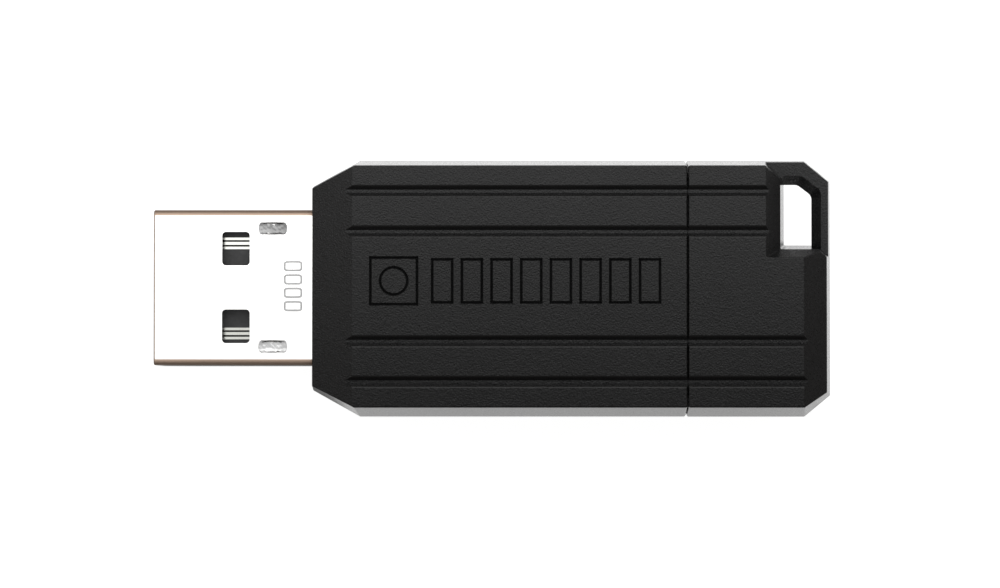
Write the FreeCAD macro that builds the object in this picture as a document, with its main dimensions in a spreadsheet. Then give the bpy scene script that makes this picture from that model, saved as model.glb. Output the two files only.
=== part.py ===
import FreeCAD, Part  # this order is the one that starts without a crash
import os
import re
import Sketcher

# USB flash drive with a push-pull sleeve, as a FreeCAD document.
#
# The drive lies flat. X runs along it, with the plug at -X and the key loop at +X. Y runs across it, with the
# key loop at +Y. Z is up. The origin is the middle of the drive's footprint, on the surface that it lies on.
#
# Two assemblies make the drive. The carriage holds the plug and the circuit board, and its tail is locked into
# the end cap with the key loop. The sleeve slides along the carriage: back, as modelled, the plug is out, and
# forward it covers the plug.

DOCUMENT = FreeCAD.newDocument("usb_flash_drive")

# Driving dimensions, in millimetres and degrees. A name ending in _x is a station along the drive, and one
# ending in _rise is a height above the middle plane, where the two halves of every shell meet.
DIMENSIONS = {
    "past": 1.0,                # how far a cut reaches beyond what it cuts
    "weld": 0.2,                # how deep a rib or a bump is rooted in the wall that it grows from
    # the outside
    "tip_x": -26.175,           # mouth of the plug
    "nose_x": -13.925,          # front face of the sleeve
    "rear_x": 14.97,            # rear rim of the sleeve
    "cap_x": 15.03,             # front rim of the end cap
    "tail_x": 26.175,           # rear end of the end cap
    "half_width": 9.95,
    "half_height": 4.5,         # also the middle plane's height above the table
    "splay": 8.2,               # lean of the side walls, which are widest at the middle plane
    "edge_rise": 2.85,          # where the end slopes stop above the middle plane
    "nose_run": 3.14,           # length of the slope at the nose
    "nose_cut_x": 3.65,
    "nose_cut_y": 2.04,
    "nose_splay": 4.8,          # lean of the walls across the nose's corners
    "tail_cut_x": 2.0,
    "tail_cut_y": 1.65,
    "tail_top_x": 23.9,         # where the top face ends and the tail slope starts
    "edge_round": 0.12,
    "rim_round": 0.17,          # the two rims that meet at the seam
    "parting_bevel": 0.05,      # fine line where the halves meet
    # pinstripe grooves
    "stripe_inner_y": 4.22,
    "stripe_outer_y": 7.33,
    "stripe_depth": 0.3,
    "stripe_floor": 0.12,       # half widths of a groove at its floor, at its wall's top and at its lip
    "stripe_wall": 0.385,
    "stripe_lip": 0.48,
    "stripe_lip_depth": 0.04,
    # mark on the sleeve: a plain square with a ring in it, and a row of blocks
    "mark_depth": 0.15,
    "mark_line": 0.11,          # half width of an engraved line, which is V-shaped
    "mark_ring": 1.05,
    "mark_x": -9.5,
    "mark_y": 0.42,
    "mark_size": 3.8,
    "block_x": -4.75,
    "block_width": 1.75,
    "block_height": 3.3,
    "block_pitch": 2.28,
    "block_count": 8,
    # sleeve, inside
    "cavity_x": -11.325,
    "cavity_width": 8.45,       # half widths and rises from here on
    "cavity_rise": 3.4,
    "cavity_bevel": 0.4,
    "rib_width": 0.45,
    "rib_height": 0.25,
    "mouth_width": 6.15,
    "mouth_rise": 2.4,
    "lead_in": 0.25,            # bevel where something is pushed in
    "channel_floor": 8.75,
    "channel_pocket": 8.86,
    "channel_rise": 0.85,
    "channel_play": 0.1,        # beyond the bump's ends, where the travel stops
    "channel_ramp": 0.2,
    "rest_play": 0.3,
    "tongue_inner": 9.17,
    "tongue_outer": 9.47,
    "tongue_height": 0.3,
    "tongue_play": 0.03,
    "tongue_nose_gap": 4.0,
    "tongue_rim_gap": 0.6,
    "cap_tongue": 4.6,
    # end cap
    "notch_x": 22.6,
    "notch_y": 3.34,
    "notch_top_x": 21.0,
    "notch_top_y": 2.22,
    "notch_cut": 1.4,
    "notch_corner_cut": 0.84,
    "socket_end_x": 20.05,
    "socket_width": 8.4,
    "socket_rise": 3.35,
    "loop_rise": 1.5,
    "loop_root_x": 2.0,         # how far the loop's ends reach into the cap
    "loop_root_y": 1.1,
    "loop_hole_lap": 0.6,
    "loop_hole_x": 24.75,
    "loop_hole_y": 8.04,
    "loop_hole_cut_x": 1.1,
    "loop_hole_cut_y": 0.83,
    "loop_bevel": 23.5,
    "loop_hole_round": 0.7,
    "lock_x": 17.7,
    "lock_width": 0.3,          # half length of the locking rib along X
    "lock_depth": 0.35,
    "lock_span": 6.0,
    # carriage
    "carriage_x": -11.2,
    "carriage_end_x": 20.0,
    "carriage_width": 8.35,
    "carriage_rise": 3.3,
    "carriage_bevel": 0.4,
    "carriage_wall": 1.0,
    "rail_width": 0.5,
    "rail_depth": 0.33,
    "split_rise": 0.9,          # where the lid sits on the tray
    "room_x": -8.2,
    "room_end_x": 19.0,
    "room_width": 7.45,
    "ledge_width": 6.9,
    "arm_x": -7.6,
    "arm_root_x": -1.0,
    "arm_low_rise": -0.75,
    "arm_high_rise": 0.72,
    "arm_slot": 0.28,
    "ledge_front": 1.0,         # what the board rests on at each end
    "ledge_back": 0.8,
    "seat_play": 0.05,
    "bump_x": -6.8,
    "bump_half": 0.7,
    "bump_crown": 0.245,
    "bump_height": 0.3,
    "bump_rise": 0.6,
    "travel": 12.8,
    "peg_x": 17.2,
    "peg_y": 5.6,
    "peg_r": 0.75,
    "peg_rise": 0.45,
    "peg_play": 0.06,
    "lip_x": 0.5,
    "lip_end_x": 18.5,
    "lip_drop": 0.4,
    "lip_width": 0.4,
    # plug
    "plug_width": 6.0,
    "plug_rise": 2.25,
    "plug_length": 18.75,
    "plug_wall": 0.3,
    "plug_round": 0.5,
    "plug_mouth_round": 0.12,
    "window_start": 5.28,       # distances back from the plug's mouth
    "window_end": 7.42,
    "window_in_y": 1.7,
    "window_out_y": 4.3,
    "window_round": 0.3,
    "dimple_at": 9.2,
    "dimple_y": 4.56,
    "dimple_length": 1.1,
    "dimple_depth": 0.17,
    "dimple_axis": 0.6,
    "tab_length": 2.0,
    "tab_low_rise": -1.2,
    "tab_high_rise": 0.6,
    "seam_width": 0.05,
    "dovetail_start": 9.2,
    "dovetail_end": 11.8,
    "dovetail_flare": 0.6,
    "dovetail_reach": 2.1,
    "insulator_start": 0.4,
    "insulator_block": 12.6,
    "insulator_end": 18.2,
    "insulator_cut": 0.13,      # off its long corners, which lie in the shell's folds
    "shell_play": 0.05,         # between the shell and the insulator's sides
    "bed_play": 0.02,           # between parts that lie face to face
    "tongue_inset": 0.1,
    "contact_half": 0.45,
    "contact_thick": 0.2,
    "contact_nose": 0.14,
    "power_pin_y": 3.5,
    "data_pin_y": 1.0,
    "power_start": 1.8,
    "data_start": 2.8,
    "contact_end": 20.7,
    "flute_y": 0.185,
    "flute_half": 0.07,
    "flute_depth": 0.09,
    # circuit board and what is on it
    "board_x": -7.3,
    "board_end_x": 18.8,
    "board_width": 7.35,
    "board_top_rise": -0.1,
    "board_thick": 0.8,
    "board_waist": 6.95,
    "board_corner": 0.5,
    "board_gap": 0.1,           # round the plug's tabs
    "waist_gap": 0.3,           # behind the latch arms' roots
    "memory_x": 6.2,
    "memory_length": 18.4,
    "memory_width": 12.0,
    "memory_height": 1.0,
    "chip_stand": 0.1,
    "lead_pitch": 0.5,
    "lead_width": 0.22,
    "lead_thick": 0.13,
    "lead_reach": 0.8,
    "controller_x": 1.6,
    "controller_size": 7.0,
    "mould_bevel": 0.12,
    "index_inset": 1.3,
    "index_radius": 0.5,
    "index_depth": 0.08,
    "crystal_x": 10.6,
    "crystal_length": 3.2,
    "crystal_width": 2.5,
    "crystal_base": 0.5,
    "crystal_height": 0.8,
    "crystal_rim": 0.15,
    "regulator_x": -4.2,
    "regulator_y": 4.4,
    "regulator_length": 1.3,
    "regulator_width": 2.9,
    "regulator_height": 1.0,
    "regulator_pitch": 1.9,
    "regulator_reach": 0.55,
    "capacitor_length": 1.6,
    "capacitor_width": 0.8,
    "resistor_length": 1.0,
    "resistor_width": 0.5,
    "resistor_height": 0.35,
    "end_metal": 0.3,           # length of a component's soldered ends, and how much fuller they are
    "end_metal_fuller": 0.03,
    "solder_rise": 0.18,
    "contact_solder": 0.5,
    "tab_solder": 0.6,
    "tab_solder_half": 0.5,
}

# Leads in a row, and where the small components sit on the board.
MEMORY_LEADS = 24
CONTROLLER_LEADS = 12
CAPACITOR_PLACES = [(-4.2, -3.4), (-4.2, -5.0), (7.6, 4.0), (7.6, -4.0), (13.6, 2.6), (13.6, -2.6)]
RESISTOR_PLACES = [(9.6, 3.4), (10.8, 3.4), (9.6, -3.4), (10.8, -3.4), (15.2, 0.0)]


def make_sheet():
    """Puts every driving dimension in a spreadsheet, under its own name."""
    sheet = DOCUMENT.addObject("Spreadsheet::Sheet", "sizes")
    for row, (name, value) in enumerate(DIMENSIONS.items(), start=1):
        sheet.set(f"A{row}", name)
        sheet.set(f"B{row}", str(value))
        sheet.setAlias(f"B{row}", name)
    DOCUMENT.recompute()
    return sheet


SHEET = make_sheet()
NEAR = 0.01                     # places closer than this count as the same, in millimetres
SIDEWAYS = 0.95             # a wall faces sideways when the Y part of its direction is above this


def linked(formula):
    """The formula with each dimension's name pointing at its cell in the spreadsheet."""
    def cell(word):
        return "sizes." + word[0] if word[0] in DIMENSIONS else word[0]

    return re.sub(r"\b[a-z][a-z_]*[a-z]\b", cell, str(formula))


def size(formula):
    """A formula's value now."""
    return float(SHEET.evalExpression(linked(formula)))


def rise(up, height):
    """Formula for a height above (up 1) or below (up -1) the middle plane, as a place on Z."""
    return f"half_height + {up} * ({height})"


# ---------------------------------------------------------------- sketches and features


def new_body(label):
    body = DOCUMENT.addObject("PartDesign::Body", label)
    body.Label = label
    return body


def origin_feature(body, role):
    """One of a body's own origin planes or axes, by its role."""
    return next(f for f in body.Origin.OriginFeatures if f.Role == role)


def new_sketch(body, name, role, offset="0"):
    """An empty sketch on one of the body's origin planes, moved along the plane's normal by offset."""
    sketch = body.newObject("Sketcher::SketchObject", name)
    sketch.AttachmentSupport = [(origin_feature(body, role), "")]
    sketch.MapMode = "FlatFace"
    sketch.setExpression("AttachmentOffset.Base.z", linked(offset))
    return sketch


def add_polygon(sketch, corners):
    """A closed polygon. Its corners are pairs of formulas, each held by its distances from the origin."""
    first = sketch.GeometryCount
    places = [(size(x), size(y)) for x, y in corners]
    count = len(places)
    for i in range(count):
        start, end = places[i], places[(i + 1) % count]
        sketch.addGeometry(Part.LineSegment(FreeCAD.Vector(*start, 0), FreeCAD.Vector(*end, 0)))
    for i in range(count):
        sketch.addConstraint(Sketcher.Constraint("Coincident", first + i, 2, first + (i + 1) % count, 1))
    for i in range(count):
        for kind, place, formula in zip(("DistanceX", "DistanceY"), places[i], corners[i]):
            index = sketch.addConstraint(Sketcher.Constraint(kind, -1, 1, first + i, 1, place))
            sketch.setExpression(f"Constraints[{index}]", linked(formula))


def add_circle(sketch, x, y, radius):
    centre, upwards = FreeCAD.Vector(size(x), size(y), 0), FreeCAD.Vector(0, 0, 1)
    index = sketch.addGeometry(Part.Circle(centre, upwards, size(radius)))
    for kind, formula in (("DistanceX", x), ("DistanceY", y)):
        held = sketch.addConstraint(Sketcher.Constraint(kind, -1, 1, index, 3, size(formula)))
        sketch.setExpression(f"Constraints[{held}]", linked(formula))
    held = sketch.addConstraint(Sketcher.Constraint("Radius", index, size(radius)))
    sketch.setExpression(f"Constraints[{held}]", linked(radius))


def rectangle(x_low, y_low, x_high, y_high):
    return [(x_low, y_low), (x_high, y_low), (x_high, y_high), (x_low, y_high)]


def cut_rectangle(x_low, y_low, x_high, y_high, cut):
    """A rectangle with its four corners cut off."""
    return [
        (f"{x_low} + {cut}", y_low), (f"{x_high} - {cut}", y_low), (x_high, f"{y_low} + {cut}"),
        (x_high, f"{y_high} - {cut}"), (f"{x_high} - {cut}", y_high), (f"{x_low} + {cut}", y_high),
        (x_low, f"{y_high} - {cut}"), (x_low, f"{y_low} + {cut}"),
    ]


def both_sides(corners):
    """A polygon and its mirror image across the drive, for a sketch whose second axis is Y."""
    return [corners, [(x, f"-({y})") for x, y in reversed(corners)]]


def sketch_of(body, name, role, offset, polygons):
    sketch = new_sketch(body, name, role, offset)
    for corners in polygons:
        add_polygon(sketch, corners)
    return sketch


def settle(feature, before=None):
    """Works the document out. Stops if the feature failed, or if it was to cut and the volume hasn't fallen."""
    DOCUMENT.recompute()
    body = feature.getParentGeoFeatureGroup()
    if {"Invalid", "Error"} & set(feature.State) or feature.Shape.isNull() or not feature.Shape.isValid():
        raise ValueError(f"{body.Label}: {feature.Label} failed")
    if before is not None and not feature.Shape.Volume < before:
        raise ValueError(f"{body.Label}: {feature.Label} cuts nothing")
    return feature


def pad(body, name, sketch, length, reverse=False, symmetric=False):
    feature = body.newObject("PartDesign::Pad", name)
    feature.Profile = sketch
    feature.setExpression("Length", linked(length))
    feature.SideType = "Symmetric" if symmetric else "One side"
    feature.Reversed = reverse
    return settle(feature)


def pocket(body, name, sketch, length=None, reverse=False, symmetric=False):
    """Cuts the sketch out of the body, by length or, with none, right through both ways."""
    before = body.Shape.Volume
    feature = body.newObject("PartDesign::Pocket", name)
    feature.Profile = sketch
    if length is None:
        feature.Type = "ThroughAll"
        feature.SideType = "Symmetric"
    else:
        feature.setExpression("Length", linked(length))
        feature.SideType = "Symmetric" if symmetric else "One side"
        feature.Reversed = reverse
    return settle(feature, before)


def chosen(kind, items, keep):
    return [f"{kind}{i}" for i, item in enumerate(items, start=1) if keep(item)]


def dress(body, kind, name, edges, amount):
    """Rounds (Fillet) or bevels (Chamfer) the edges of the body's tip that the test edges picks."""
    base = body.Tip
    feature = body.newObject("PartDesign::" + kind, name)
    feature.Base = (base, chosen("Edge", base.Shape.Edges, edges))
    feature.setExpression("Radius" if kind == "Fillet" else "Size", linked(amount))
    return settle(feature)


def lean(body, name, up, faces, angle):
    """Leans faces about the middle plane, so that they close in away from it."""
    base = body.Tip
    middle = size("half_height")
    feature = body.newObject("PartDesign::Draft", name)
    feature.Base = (base, chosen("Face", base.Shape.Faces, faces))
    neutral = chosen("Face", base.Shape.Faces, lambda f: lies_at(f, "z", middle))
    feature.NeutralPlane = (base, neutral[:1])
    feature.Reversed = up < 0
    feature.setExpression("Angle", linked(angle))
    return settle(feature)


def lies_at(item, axis, place, reach=1e-4):
    """Whether a face or an edge lies in the plane across an axis at a place."""
    box = item.BoundBox
    low, high = {"x": (box.XMin, box.XMax), "y": (box.YMin, box.YMax), "z": (box.ZMin, box.ZMax)}[axis]
    return abs(low - place) < reach and abs(high - place) < reach


def upright(edge):
    """Whether an edge runs mostly along Z."""
    box = edge.BoundBox
    return box.ZLength > 2 * max(box.XLength, box.YLength)


def rim_edges(plane_x):
    """Test for the edges of a rim, in the plane at plane_x, but not where the two halves meet."""
    place, middle = size(plane_x), size("half_height")
    return lambda edge: lies_at(edge, "x", place) and not lies_at(edge, "z", middle)


def outer_edges(up, skip_x):
    """Test for a shell's outside edges: those above the middle plane, but not in the plane at skip_x."""
    middle = size("half_height")

    def keep(edge):
        away = [up * (v.Z - middle) for v in edge.Vertexes]
        return max(away) > 0.5 and not lies_at(edge, "x", skip_x)

    return keep


# ---------------------------------------------------------------- what the sleeve and the end cap share


def cut_slope(body, name, up, low_x, top_x, beyond_x):
    """Planes an end down, from the top face at top_x to edge_rise at low_x, and everything past it."""
    corners = [
        (beyond_x, rise(up, "edge_rise")),
        (low_x, rise(up, "edge_rise")),
        (top_x, rise(up, "half_height")),
        (top_x, rise(up, "half_height + past")),
        (beyond_x, rise(up, "half_height + past")),
    ]
    pocket(body, name, sketch_of(body, name + "_profile", "XZ_Plane", "0", [corners]))


def cut_stripes(body, up):
    """Four pinstripe grooves along the whole shell, each with sloping walls and an eased lip."""
    polygons = []
    for centre in ("stripe_inner_y", "stripe_outer_y", "-stripe_inner_y", "-stripe_outer_y"):
        side = [
            ("stripe_lip", "half_height + past"),
            ("stripe_lip", "half_height"),
            ("stripe_wall", "half_height - stripe_lip_depth"),
            ("stripe_floor", "half_height - stripe_depth"),
        ]
        right = [(f"{centre} + {y}", rise(up, z)) for y, z in side]
        left = [(f"{centre} - {y}", rise(up, z)) for y, z in reversed(side)]
        polygons.append(right + left)
    pocket(body, "pinstripes", sketch_of(body, "pinstripe_profiles", "YZ_Plane", "0", polygons))


def join_halves(body, up, start_x, end_x):
    """A tongue along each side wall of the lower half, and the groove that takes it in the upper half."""
    play = "0" if up > 0 else "tongue_play"
    strip = rectangle(start_x, f"tongue_inner + {play}", end_x, f"tongue_outer - {play}")
    sketch = sketch_of(body, "joint_strips", "XY_Plane", "half_height", both_sides(strip))
    if up > 0:
        pocket(body, "joint_groove", sketch, "tongue_height + tongue_play", reverse=True)
    else:
        pad(body, "joint_tongue", sketch, "tongue_height")


# ---------------------------------------------------------------- sleeve


def cavity_profile(up):
    """Half of the sleeve's bore, seen along the drive: bevelled corners, and a rib under each pinstripe."""
    ceiling = rise(up, "cavity_rise")
    rib_end = rise(up, "cavity_rise - rib_height")
    corners = [
        ("-cavity_width", rise(-up, "past")),
        ("-cavity_width", rise(up, "cavity_rise - cavity_bevel")),
        ("-cavity_width + cavity_bevel", ceiling),
    ]
    for centre in ("-stripe_outer_y", "-stripe_inner_y", "stripe_inner_y", "stripe_outer_y"):
        low, high = f"{centre} - rib_width", f"{centre} + rib_width"
        corners += [(low, ceiling), (low, rib_end), (high, rib_end), (high, ceiling)]
    corners += [
        ("cavity_width - cavity_bevel", ceiling),
        ("cavity_width", rise(up, "cavity_rise - cavity_bevel")),
        ("cavity_width", rise(-up, "past")),
    ]
    return corners


def detent_channel():
    """Channel that a latch bump runs in: deeper at both ends, where the bump rests, than between them."""
    start = "bump_x - bump_half - channel_play"
    end = "bump_x + travel + bump_half + channel_play"
    mouth = "cavity_width - past"
    rest = "2 * bump_half + rest_play"
    return [
        (start, mouth),
        (end, mouth),
        (end, "channel_pocket"),
        (f"{end} - ({rest})", "channel_pocket"),
        (f"{end} - ({rest}) - channel_ramp", "channel_floor"),
        (f"{start} + {rest} + channel_ramp", "channel_floor"),
        (f"{start} + {rest}", "channel_pocket"),
        (start, "channel_pocket"),
    ]


def vee(centre, top):
    """Section of an engraved line that runs across the sketch: a V with its mouth at the surface."""
    low, high = f"{centre} - mark_line", f"{centre} + mark_line"
    above = f"{top} + past"
    return [(low, above), (low, top), (centre, f"{top} - mark_depth"), (high, top), (high, above)]


def engrave_box(body, name, x, width, height):
    """Engraves the outline of a box: two lines along X and two across, each as long as the box."""
    top = "2 * half_height"
    low, high = f"mark_y - ({height}) / 2", f"mark_y + ({height}) / 2"
    sections = [vee(low, top), vee(high, top)]
    sketch = sketch_of(body, name + "_long_sections", "YZ_Plane", f"{x} - mark_line", sections)
    along = pocket(body, name + "_long_lines", sketch, f"{width} + 2 * mark_line", reverse=True)
    sections = [vee(x, top), vee(f"{x} + {width}", top)]
    sketch = sketch_of(body, name + "_cross_sections", "XZ_Plane", f"-({low} - mark_line)", sections)
    across = pocket(body, name + "_cross_lines", sketch, f"{height} + 2 * mark_line")
    return [along, across]


def engrave_ring(body, x, radius):
    """Engraves a circle: the V section turned about an upright axis."""
    sketch = new_sketch(body, "ring_section", "XZ_Plane", "-mark_y")
    add_polygon(sketch, vee(f"{x} + {radius}", "2 * half_height"))
    line = Part.LineSegment(FreeCAD.Vector(size(x), 0, 0), FreeCAD.Vector(size(x), 1, 0))
    axis = sketch.addGeometry(line, True)
    sketch.addConstraint(Sketcher.Constraint("Vertical", axis))
    sketch.addConstraint(Sketcher.Constraint("PointOnObject", axis, 1, -1))
    sketch.addConstraint(Sketcher.Constraint("DistanceY", axis, 1, axis, 2, 1))
    held = sketch.addConstraint(Sketcher.Constraint("DistanceX", -1, 1, axis, 1, size(x)))
    sketch.setExpression(f"Constraints[{held}]", linked(x))
    before = body.Shape.Volume
    feature = body.newObject("PartDesign::Groove", "ring_line")
    feature.Profile = sketch
    feature.ReferenceAxis = (sketch, ["Axis0"])
    feature.Angle = 360
    return settle(feature, before)


def engrave_mark(body):
    """A generic mark: a square outline round a ring, and a row of outlined blocks."""
    side = "mark_size - 2 * mark_line"
    engrave_box(body, "square", "mark_x + mark_line", side, side)
    engrave_ring(body, "mark_x + mark_size / 2", "mark_ring")
    width = "block_width - 2 * mark_line"
    block = engrave_box(body, "block_outline", "block_x + mark_line", width, "block_height")
    before = body.Shape.Volume
    row = body.newObject("PartDesign::LinearPattern", "block_row")
    row.Originals = block
    row.Direction = (origin_feature(body, "X_Axis"), [""])
    row.setExpression("Length", linked("(block_count - 1) * block_pitch"))
    row.setExpression("Occurrences", linked("block_count"))
    body.Tip = row
    settle(row, before)


def mouth_edges(edge):
    """Whether an edge is one of the plug mouth's, on the sleeve's front face."""
    middle, centre = size("half_height"), edge.CenterOfMass
    inside = abs(centre.y) < size("mouth_width") + NEAR and abs(centre.z - middle) < size("mouth_rise") + NEAR
    return inside and lies_at(edge, "x", size("nose_x")) and not lies_at(edge, "z", middle)


def make_sleeve_half(label, up):
    """Upper or lower shell of the sliding sleeve."""
    body = new_body(label)
    corner_y = "half_width - nose_cut_y"
    outline = [
        ("nose_x", f"-({corner_y})"), ("nose_x + nose_cut_x", "-half_width"), ("rear_x", "-half_width"),
        ("rear_x", "half_width"), ("nose_x + nose_cut_x", "half_width"), ("nose_x", corner_y),
    ]
    sketch = sketch_of(body, "outline", "XY_Plane", "half_height", [outline])
    pad(body, "block", sketch, "half_height", reverse=up < 0)
    lean(body, "splayed_sides", up, lambda f: abs(f.normalAt(0, 0).y) > SIDEWAYS, "splay")
    lean(body, "splayed_corners", up, lambda f: 0.5 < abs(f.normalAt(0, 0).y) < SIDEWAYS, "nose_splay")
    cut_slope(body, "nose_slope", up, "nose_x", "nose_x + nose_run", "nose_x - past")
    dress(body, "Fillet", "eased_edges", outer_edges(up, size("rear_x")), "edge_round")
    dress(body, "Fillet", "rear_rim", rim_edges("rear_x"), "rim_round")
    dress(body, "Chamfer", "parting_line", lambda e: lies_at(e, "z", size("half_height")), "parting_bevel")
    cut_stripes(body, up)
    sketch = sketch_of(body, "bore_profile", "YZ_Plane", "cavity_x", [cavity_profile(up)])
    pocket(body, "bore", sketch, "rear_x - cavity_x + past", reverse=True)
    mouth = rectangle("-mouth_width", rise(-up, "past"), "mouth_width", rise(up, "mouth_rise"))
    sketch = sketch_of(body, "mouth_profile", "YZ_Plane", "cavity_x + past", [mouth])
    pocket(body, "plug_mouth", sketch, "cavity_x - nose_x + 2 * past")
    dress(body, "Chamfer", "mouth_lead_in", mouth_edges, "lead_in")
    sketch = sketch_of(body, "channel_plan", "XY_Plane", "half_height", both_sides(detent_channel()))
    pocket(body, "detent_channels", sketch, "channel_rise", reverse=up > 0)
    join_halves(body, up, "nose_x + tongue_nose_gap", "rear_x - tongue_rim_gap")
    if up > 0:
        engrave_mark(body)
    return body


# ---------------------------------------------------------------- end cap with the key loop


def make_loop_half(label, up):
    """Half of the key loop: an arm round the corner that the end cap's notch leaves out."""
    body = new_body(label)
    outline = [
        ("notch_x - loop_root_x", "notch_y - loop_root_y"), ("tail_x", "notch_y - loop_root_y"),
        ("tail_x", "half_width - tail_cut_y"), ("tail_x - tail_cut_x", "half_width"),
        ("notch_x - loop_root_x", "half_width"),
    ]
    sketch = sketch_of(body, "loop_outline", "XY_Plane", "half_height", [outline])
    pad(body, "loop_block", sketch, "loop_rise", reverse=up < 0)
    lean(body, "loop_splay", up, lambda f: max(f.normalAt(0, 0).x, f.normalAt(0, 0).y) > 0.5, "splay")
    hole = [
        ("notch_x - loop_hole_lap", "notch_y - loop_hole_lap"), ("loop_hole_x", "notch_y - loop_hole_lap"),
        ("loop_hole_x", "loop_hole_y - loop_hole_cut_y"), ("loop_hole_x - loop_hole_cut_x", "loop_hole_y"),
        ("notch_x - loop_hole_lap", "loop_hole_y"),
    ]
    sketch = sketch_of(body, "hole_outline", "XY_Plane", "half_height", [hole])
    pocket(body, "loop_hole", sketch, "loop_rise + past", reverse=up > 0)
    x_low, x_high = size("notch_x - past"), size("loop_hole_x")
    y_low, y_high = size("notch_y"), size("loop_hole_y")

    def inner(face):
        centre, normal = face.CenterOfMass, face.normalAt(0, 0)
        inside = x_low < centre.x < x_high + NEAR and y_low < centre.y < y_high + NEAR
        return inside and abs(normal.z) < 0.1 and (normal.x < -0.1 or normal.y < -0.1)

    lean(body, "loop_bevel_faces", up, inner, "loop_bevel")

    def hole_corner(edge):
        centre, reach = edge.CenterOfMass, size("loop_rise / 3")
        inside = x_low < centre.x < x_high + reach and y_low < centre.y < y_high + reach
        return inside and edge.BoundBox.ZLength > size("loop_rise / 2")

    dress(body, "Fillet", "hole_corners", hole_corner, "loop_hole_round")
    return body


def make_cap_block(label, up, outline):
    """A block that stands on the middle plane and has splayed sides, except at the seam."""
    body = new_body(label)
    sketch = sketch_of(body, "outline", "XY_Plane", "half_height", [outline])
    pad(body, "block", sketch, "half_height", reverse=up < 0)
    front = size("cap_x")

    def side(face):
        return abs(face.normalAt(0, 0).z) < NEAR and not lies_at(face, "x", front)

    lean(body, "splayed_sides", up, side, "splay")
    return body


def fuse_in(body, name, tool):
    feature = body.newObject("PartDesign::Boolean", name)
    feature.Type = "Fuse"
    feature.setObjects([tool])
    return settle(feature)


def make_cap_half(label, up):
    """Upper or lower shell of the end cap: two blocks that leave the notch between them, and the key loop."""
    edge_in = "edge_rise * tan(splay)"
    long_side = [
        ("cap_x", "-half_width"), ("tail_x - tail_cut_x", "-half_width"),
        ("tail_x", "-(half_width - tail_cut_y)"), ("tail_x", "notch_y - notch_corner_cut"),
        ("tail_x - notch_corner_cut", "notch_y"), ("cap_x", "notch_y"),
    ]
    body = make_cap_block(label, up, long_side)
    cut_slope(body, "tail_slope", up, f"tail_x - {edge_in}", "tail_top_x", "tail_x + past")
    across = [
        ("half_width + past", rise(up, "edge_rise")), (f"notch_y - {edge_in}", rise(up, "edge_rise")),
        ("notch_top_y", rise(up, "half_height")), ("notch_top_y", rise(up, "half_height + past")),
        ("half_width + past", rise(up, "half_height + past")),
    ]
    pocket(body, "notch_side_slope", sketch_of(body, "notch_side_profile", "YZ_Plane", "0", [across]))
    short_side = [
        ("cap_x", "0"), ("notch_x", "0"), ("notch_x", "half_width - notch_cut"),
        ("notch_x - notch_cut", "half_width"), ("cap_x", "half_width"),
    ]
    block = make_cap_block(label + "_block", up, short_side)
    cut_slope(block, "notch_end_slope", up, f"notch_x - {edge_in}", "notch_top_x", "notch_x + past")
    fuse_in(body, "with_block", block)
    dress(body, "Fillet", "eased_edges", outer_edges(up, size("cap_x")), "edge_round")
    dress(body, "Fillet", "front_rim", rim_edges("cap_x"), "rim_round")
    cut_stripes(body, up)
    fuse_in(body, "with_loop", make_loop_half(label + "_loop", up))
    socket = rectangle("-socket_width", rise(-up, "past"), "socket_width", rise(up, "socket_rise"))
    sketch = sketch_of(body, "socket_profile", "YZ_Plane", "socket_end_x", [socket])
    pocket(body, "socket", sketch, "socket_end_x - cap_x + past")
    rib = rectangle("lock_x - lock_width", rise(up, "socket_rise - lock_depth"),
                    "lock_x + lock_width", rise(up, "socket_rise + weld"))
    sketch = sketch_of(body, "lock_rib_profile", "XZ_Plane", "0", [rib])
    pad(body, "lock_rib", sketch, "2 * lock_span", symmetric=True)
    join_halves(body, up, "cap_x + tongue_rim_gap", "cap_x + tongue_rim_gap + cap_tongue")
    return body


# ---------------------------------------------------------------- carriage


def carriage_profile(up, base_rise):
    """Half of the carriage's section: bevelled corners, and a rail groove under each rib of the sleeve."""
    face = rise(up, "carriage_rise")
    groove = rise(up, "carriage_rise - rail_depth")
    corners = [
        ("-carriage_width", rise(1, base_rise)),
        ("-carriage_width", rise(up, "carriage_rise - carriage_bevel")),
        ("-carriage_width + carriage_bevel", face),
    ]
    for centre in ("-stripe_outer_y", "-stripe_inner_y", "stripe_inner_y", "stripe_outer_y"):
        low, high = f"{centre} - rail_width", f"{centre} + rail_width"
        corners += [(low, face), (low, groove), (high, groove), (high, face)]
    corners += [
        ("carriage_width - carriage_bevel", face),
        ("carriage_width", rise(up, "carriage_rise - carriage_bevel")),
        ("carriage_width", rise(1, base_rise)),
    ]
    return corners


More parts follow.
